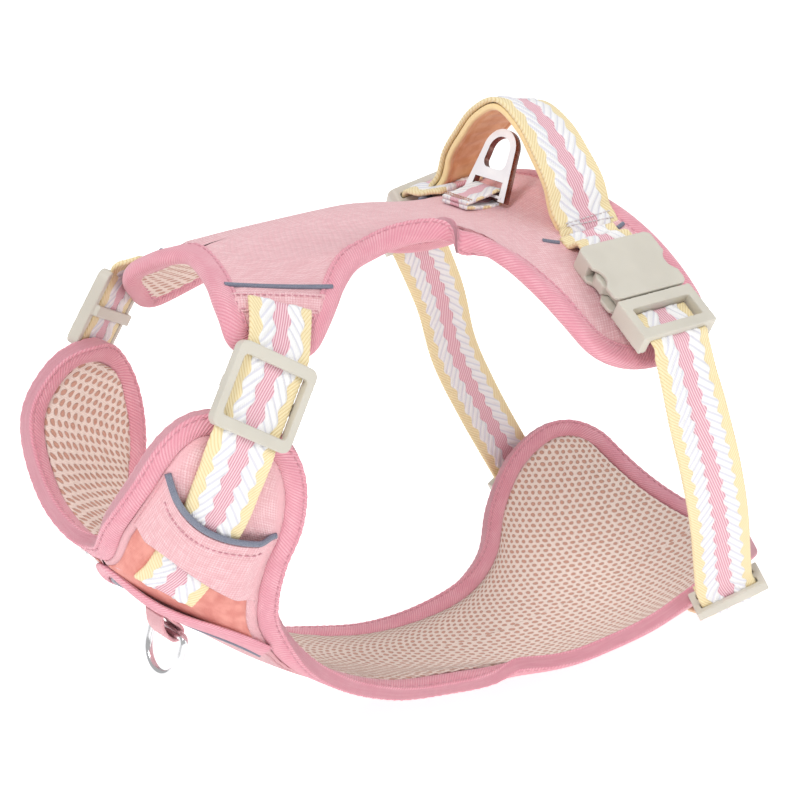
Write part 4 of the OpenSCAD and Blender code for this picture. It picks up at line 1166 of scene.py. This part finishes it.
def refined(node, name, body, mats, bevel=None, paint=None):
    """A copy of a CAD piece with soft edges, which takes its place: rounded all over, or bevelled."""
    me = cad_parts[node].data.copy()
    me.name = name
    bm = bmesh.new()
    bm.from_mesh(me)
    bmesh.ops.remove_doubles(bm, verts=bm.verts, dist=3e-6)
    bmesh.ops.dissolve_limit(bm, angle_limit=math.radians(2), verts=bm.verts, edges=bm.edges)
    bmesh.ops.recalc_face_normals(bm, faces=bm.faces)
    bm.to_mesh(me)
    bm.free()
    if "custom_normal" in me.attributes:
        me.attributes.remove(me.attributes["custom_normal"])
    me.materials.clear()
    for mat in mats:
        me.materials.append(mat)
    me.shade_flat()
    ob = bpy.data.objects.new(name, me)
    scene.collection.objects.link(ob)
    if paint is not None:
        paint(me)
    if bevel is None:
        mod = ob.modifiers.new("skin", "REMESH")
        mod.mode = "VOXEL"
        mod.voxel_size = MOULDED_VOXEL * MM
        mod = ob.modifiers.new("soft", "SMOOTH")
        mod.factor = 0.5
        mod.iterations = MOULDED_ROUNDS
    else:
        mod = ob.modifiers.new("edges", "BEVEL")
        mod.width = bevel * MM
        mod.segments = 3
        mod.limit_method = "ANGLE"
        mod.angle_limit = math.radians(35)
        mod.use_clamp_overlap = True
        mod.loop_slide = True
    shown = ob.evaluated_get(bpy.context.evaluated_depsgraph_get())
    done = bpy.data.meshes.new_from_object(shown)
    ob.modifiers.clear()
    ob.data = done
    done.name = name
    done.shade_smooth()
    if bevel is not None:
        done.set_sharp_from_angle(angle=math.radians(40))
    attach(ob, body)
    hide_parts(node)
    return ob


for word in SIDES.values():
    moulded = (
        ("neck_slider", "neck_adjuster", word + "_neck_slider"),
        ("girth_slider", "girth_adjuster", word + "_girth_slider"),
        ("buckle_socket", "buckle_female", ROOT),
        ("buckle_plug", "buckle_male", word + "_plug"),
        ("front_arm", "front_spring_arm", word + "_front_arm"),
        ("rear_arm", "rear_spring_arm", word + "_rear_arm"),
    )
    for node, name, body in moulded:
        refined(f"{word}_{node}", f"{word}_{name}", body, [PLASTIC])


PLATE_FACES = Vector((0, -0.9023, 0.4311))


def paint_faces(me):
    """White on the ring's two flat faces, bare metal round its edges."""
    for f in me.polygons:
        f.material_index = 0 if abs(f.normal.dot(PLATE_FACES)) > 0.95 else 1


refined("back_ring", "back_leash_ring", "back_ring", [WHITE, BRONZE], 0.35, paint_faces)

RING_X, RING_LEG, WIRE = 10.5, 7.0, 1.6
hang = unit(vec(0, -0.3, -0.95))
flat = square_to(vec(0, -1, 0), hang)
right = np.cross(hang, flat)
CORNER_R = 1.9


def ring_corner(angles, side):
    """Points round one bottom corner of the ring."""
    return [
        vec(side * (RING_X - CORNER_R * (1 - math.sin(a))), CORNER_R * (1 - math.cos(a)), 0) for a in angles
    ]


around = np.linspace(0.05, math.pi - 0.05, 49)
ring_path = [vec(-RING_X + CORNER_R + t * (2 * RING_X - 2 * CORNER_R) / 12, 0, 0) for t in range(13)]
ring_path += ring_corner(np.linspace(0.2, math.pi / 2, 7), 1)
ring_path += [vec(RING_X, y, 0) for y in np.linspace(2.5, RING_LEG, 5)]
ring_path += [vec(RING_X * math.cos(a), RING_LEG + RING_X * math.sin(a), 0) for a in around]
ring_path += [vec(-RING_X, y, 0) for y in np.linspace(RING_LEG, 2.5, 5)]
ring_path += ring_corner(np.linspace(math.pi / 2, 0.2, 7), -1)
ring_path = np.array([FRONT_BAR + q[0] * right + q[1] * hang for q in ring_path])
flats = np.array([flat] * len(ring_path))
tube("front_leash_ring", ring_path, flats, ellipse(WIRE, WIRE, 28), STEEL, True,
     body="front_ring", stands_for=("front_ring",))

# ---------------------------------------------------------------- sewn details
# bar tacks that hold the back ring's tab
for k, y in enumerate((29.3, 30.6)):
    line = [vec(x, y, 77.6 + (y - 28) / 11 * 1.4 + 1.0) for x in np.linspace(-6.8, 6.8, 30)]
    ups = np.array([vec(0, -0.1, 1)] * 30)
    stitches(f"ring_tab_stitches_{k + 1}", np.array(line), ups, 1.5, 1.3, 0.6, TAN_THREAD, "webbing")

# ---------------------------------------------------------------- floor
bpy.ops.mesh.primitive_plane_add(size=12, location=(0, 0, FLOOR_Z))
floor = bpy.context.object
floor.name = "floor"
f = Mat("pale_floor", 0.9, Specular_IOR_Level=0.1, Emission_Color=(1, 1, 1, 1), Emission_Strength=0.5)
tone = f.noise(f.here(), 3.0, 2)
floor.data.materials.append(f.finish(f.mix(tone, (0.93, 0.93, 0.925, 1), (0.95, 0.95, 0.945, 1))))
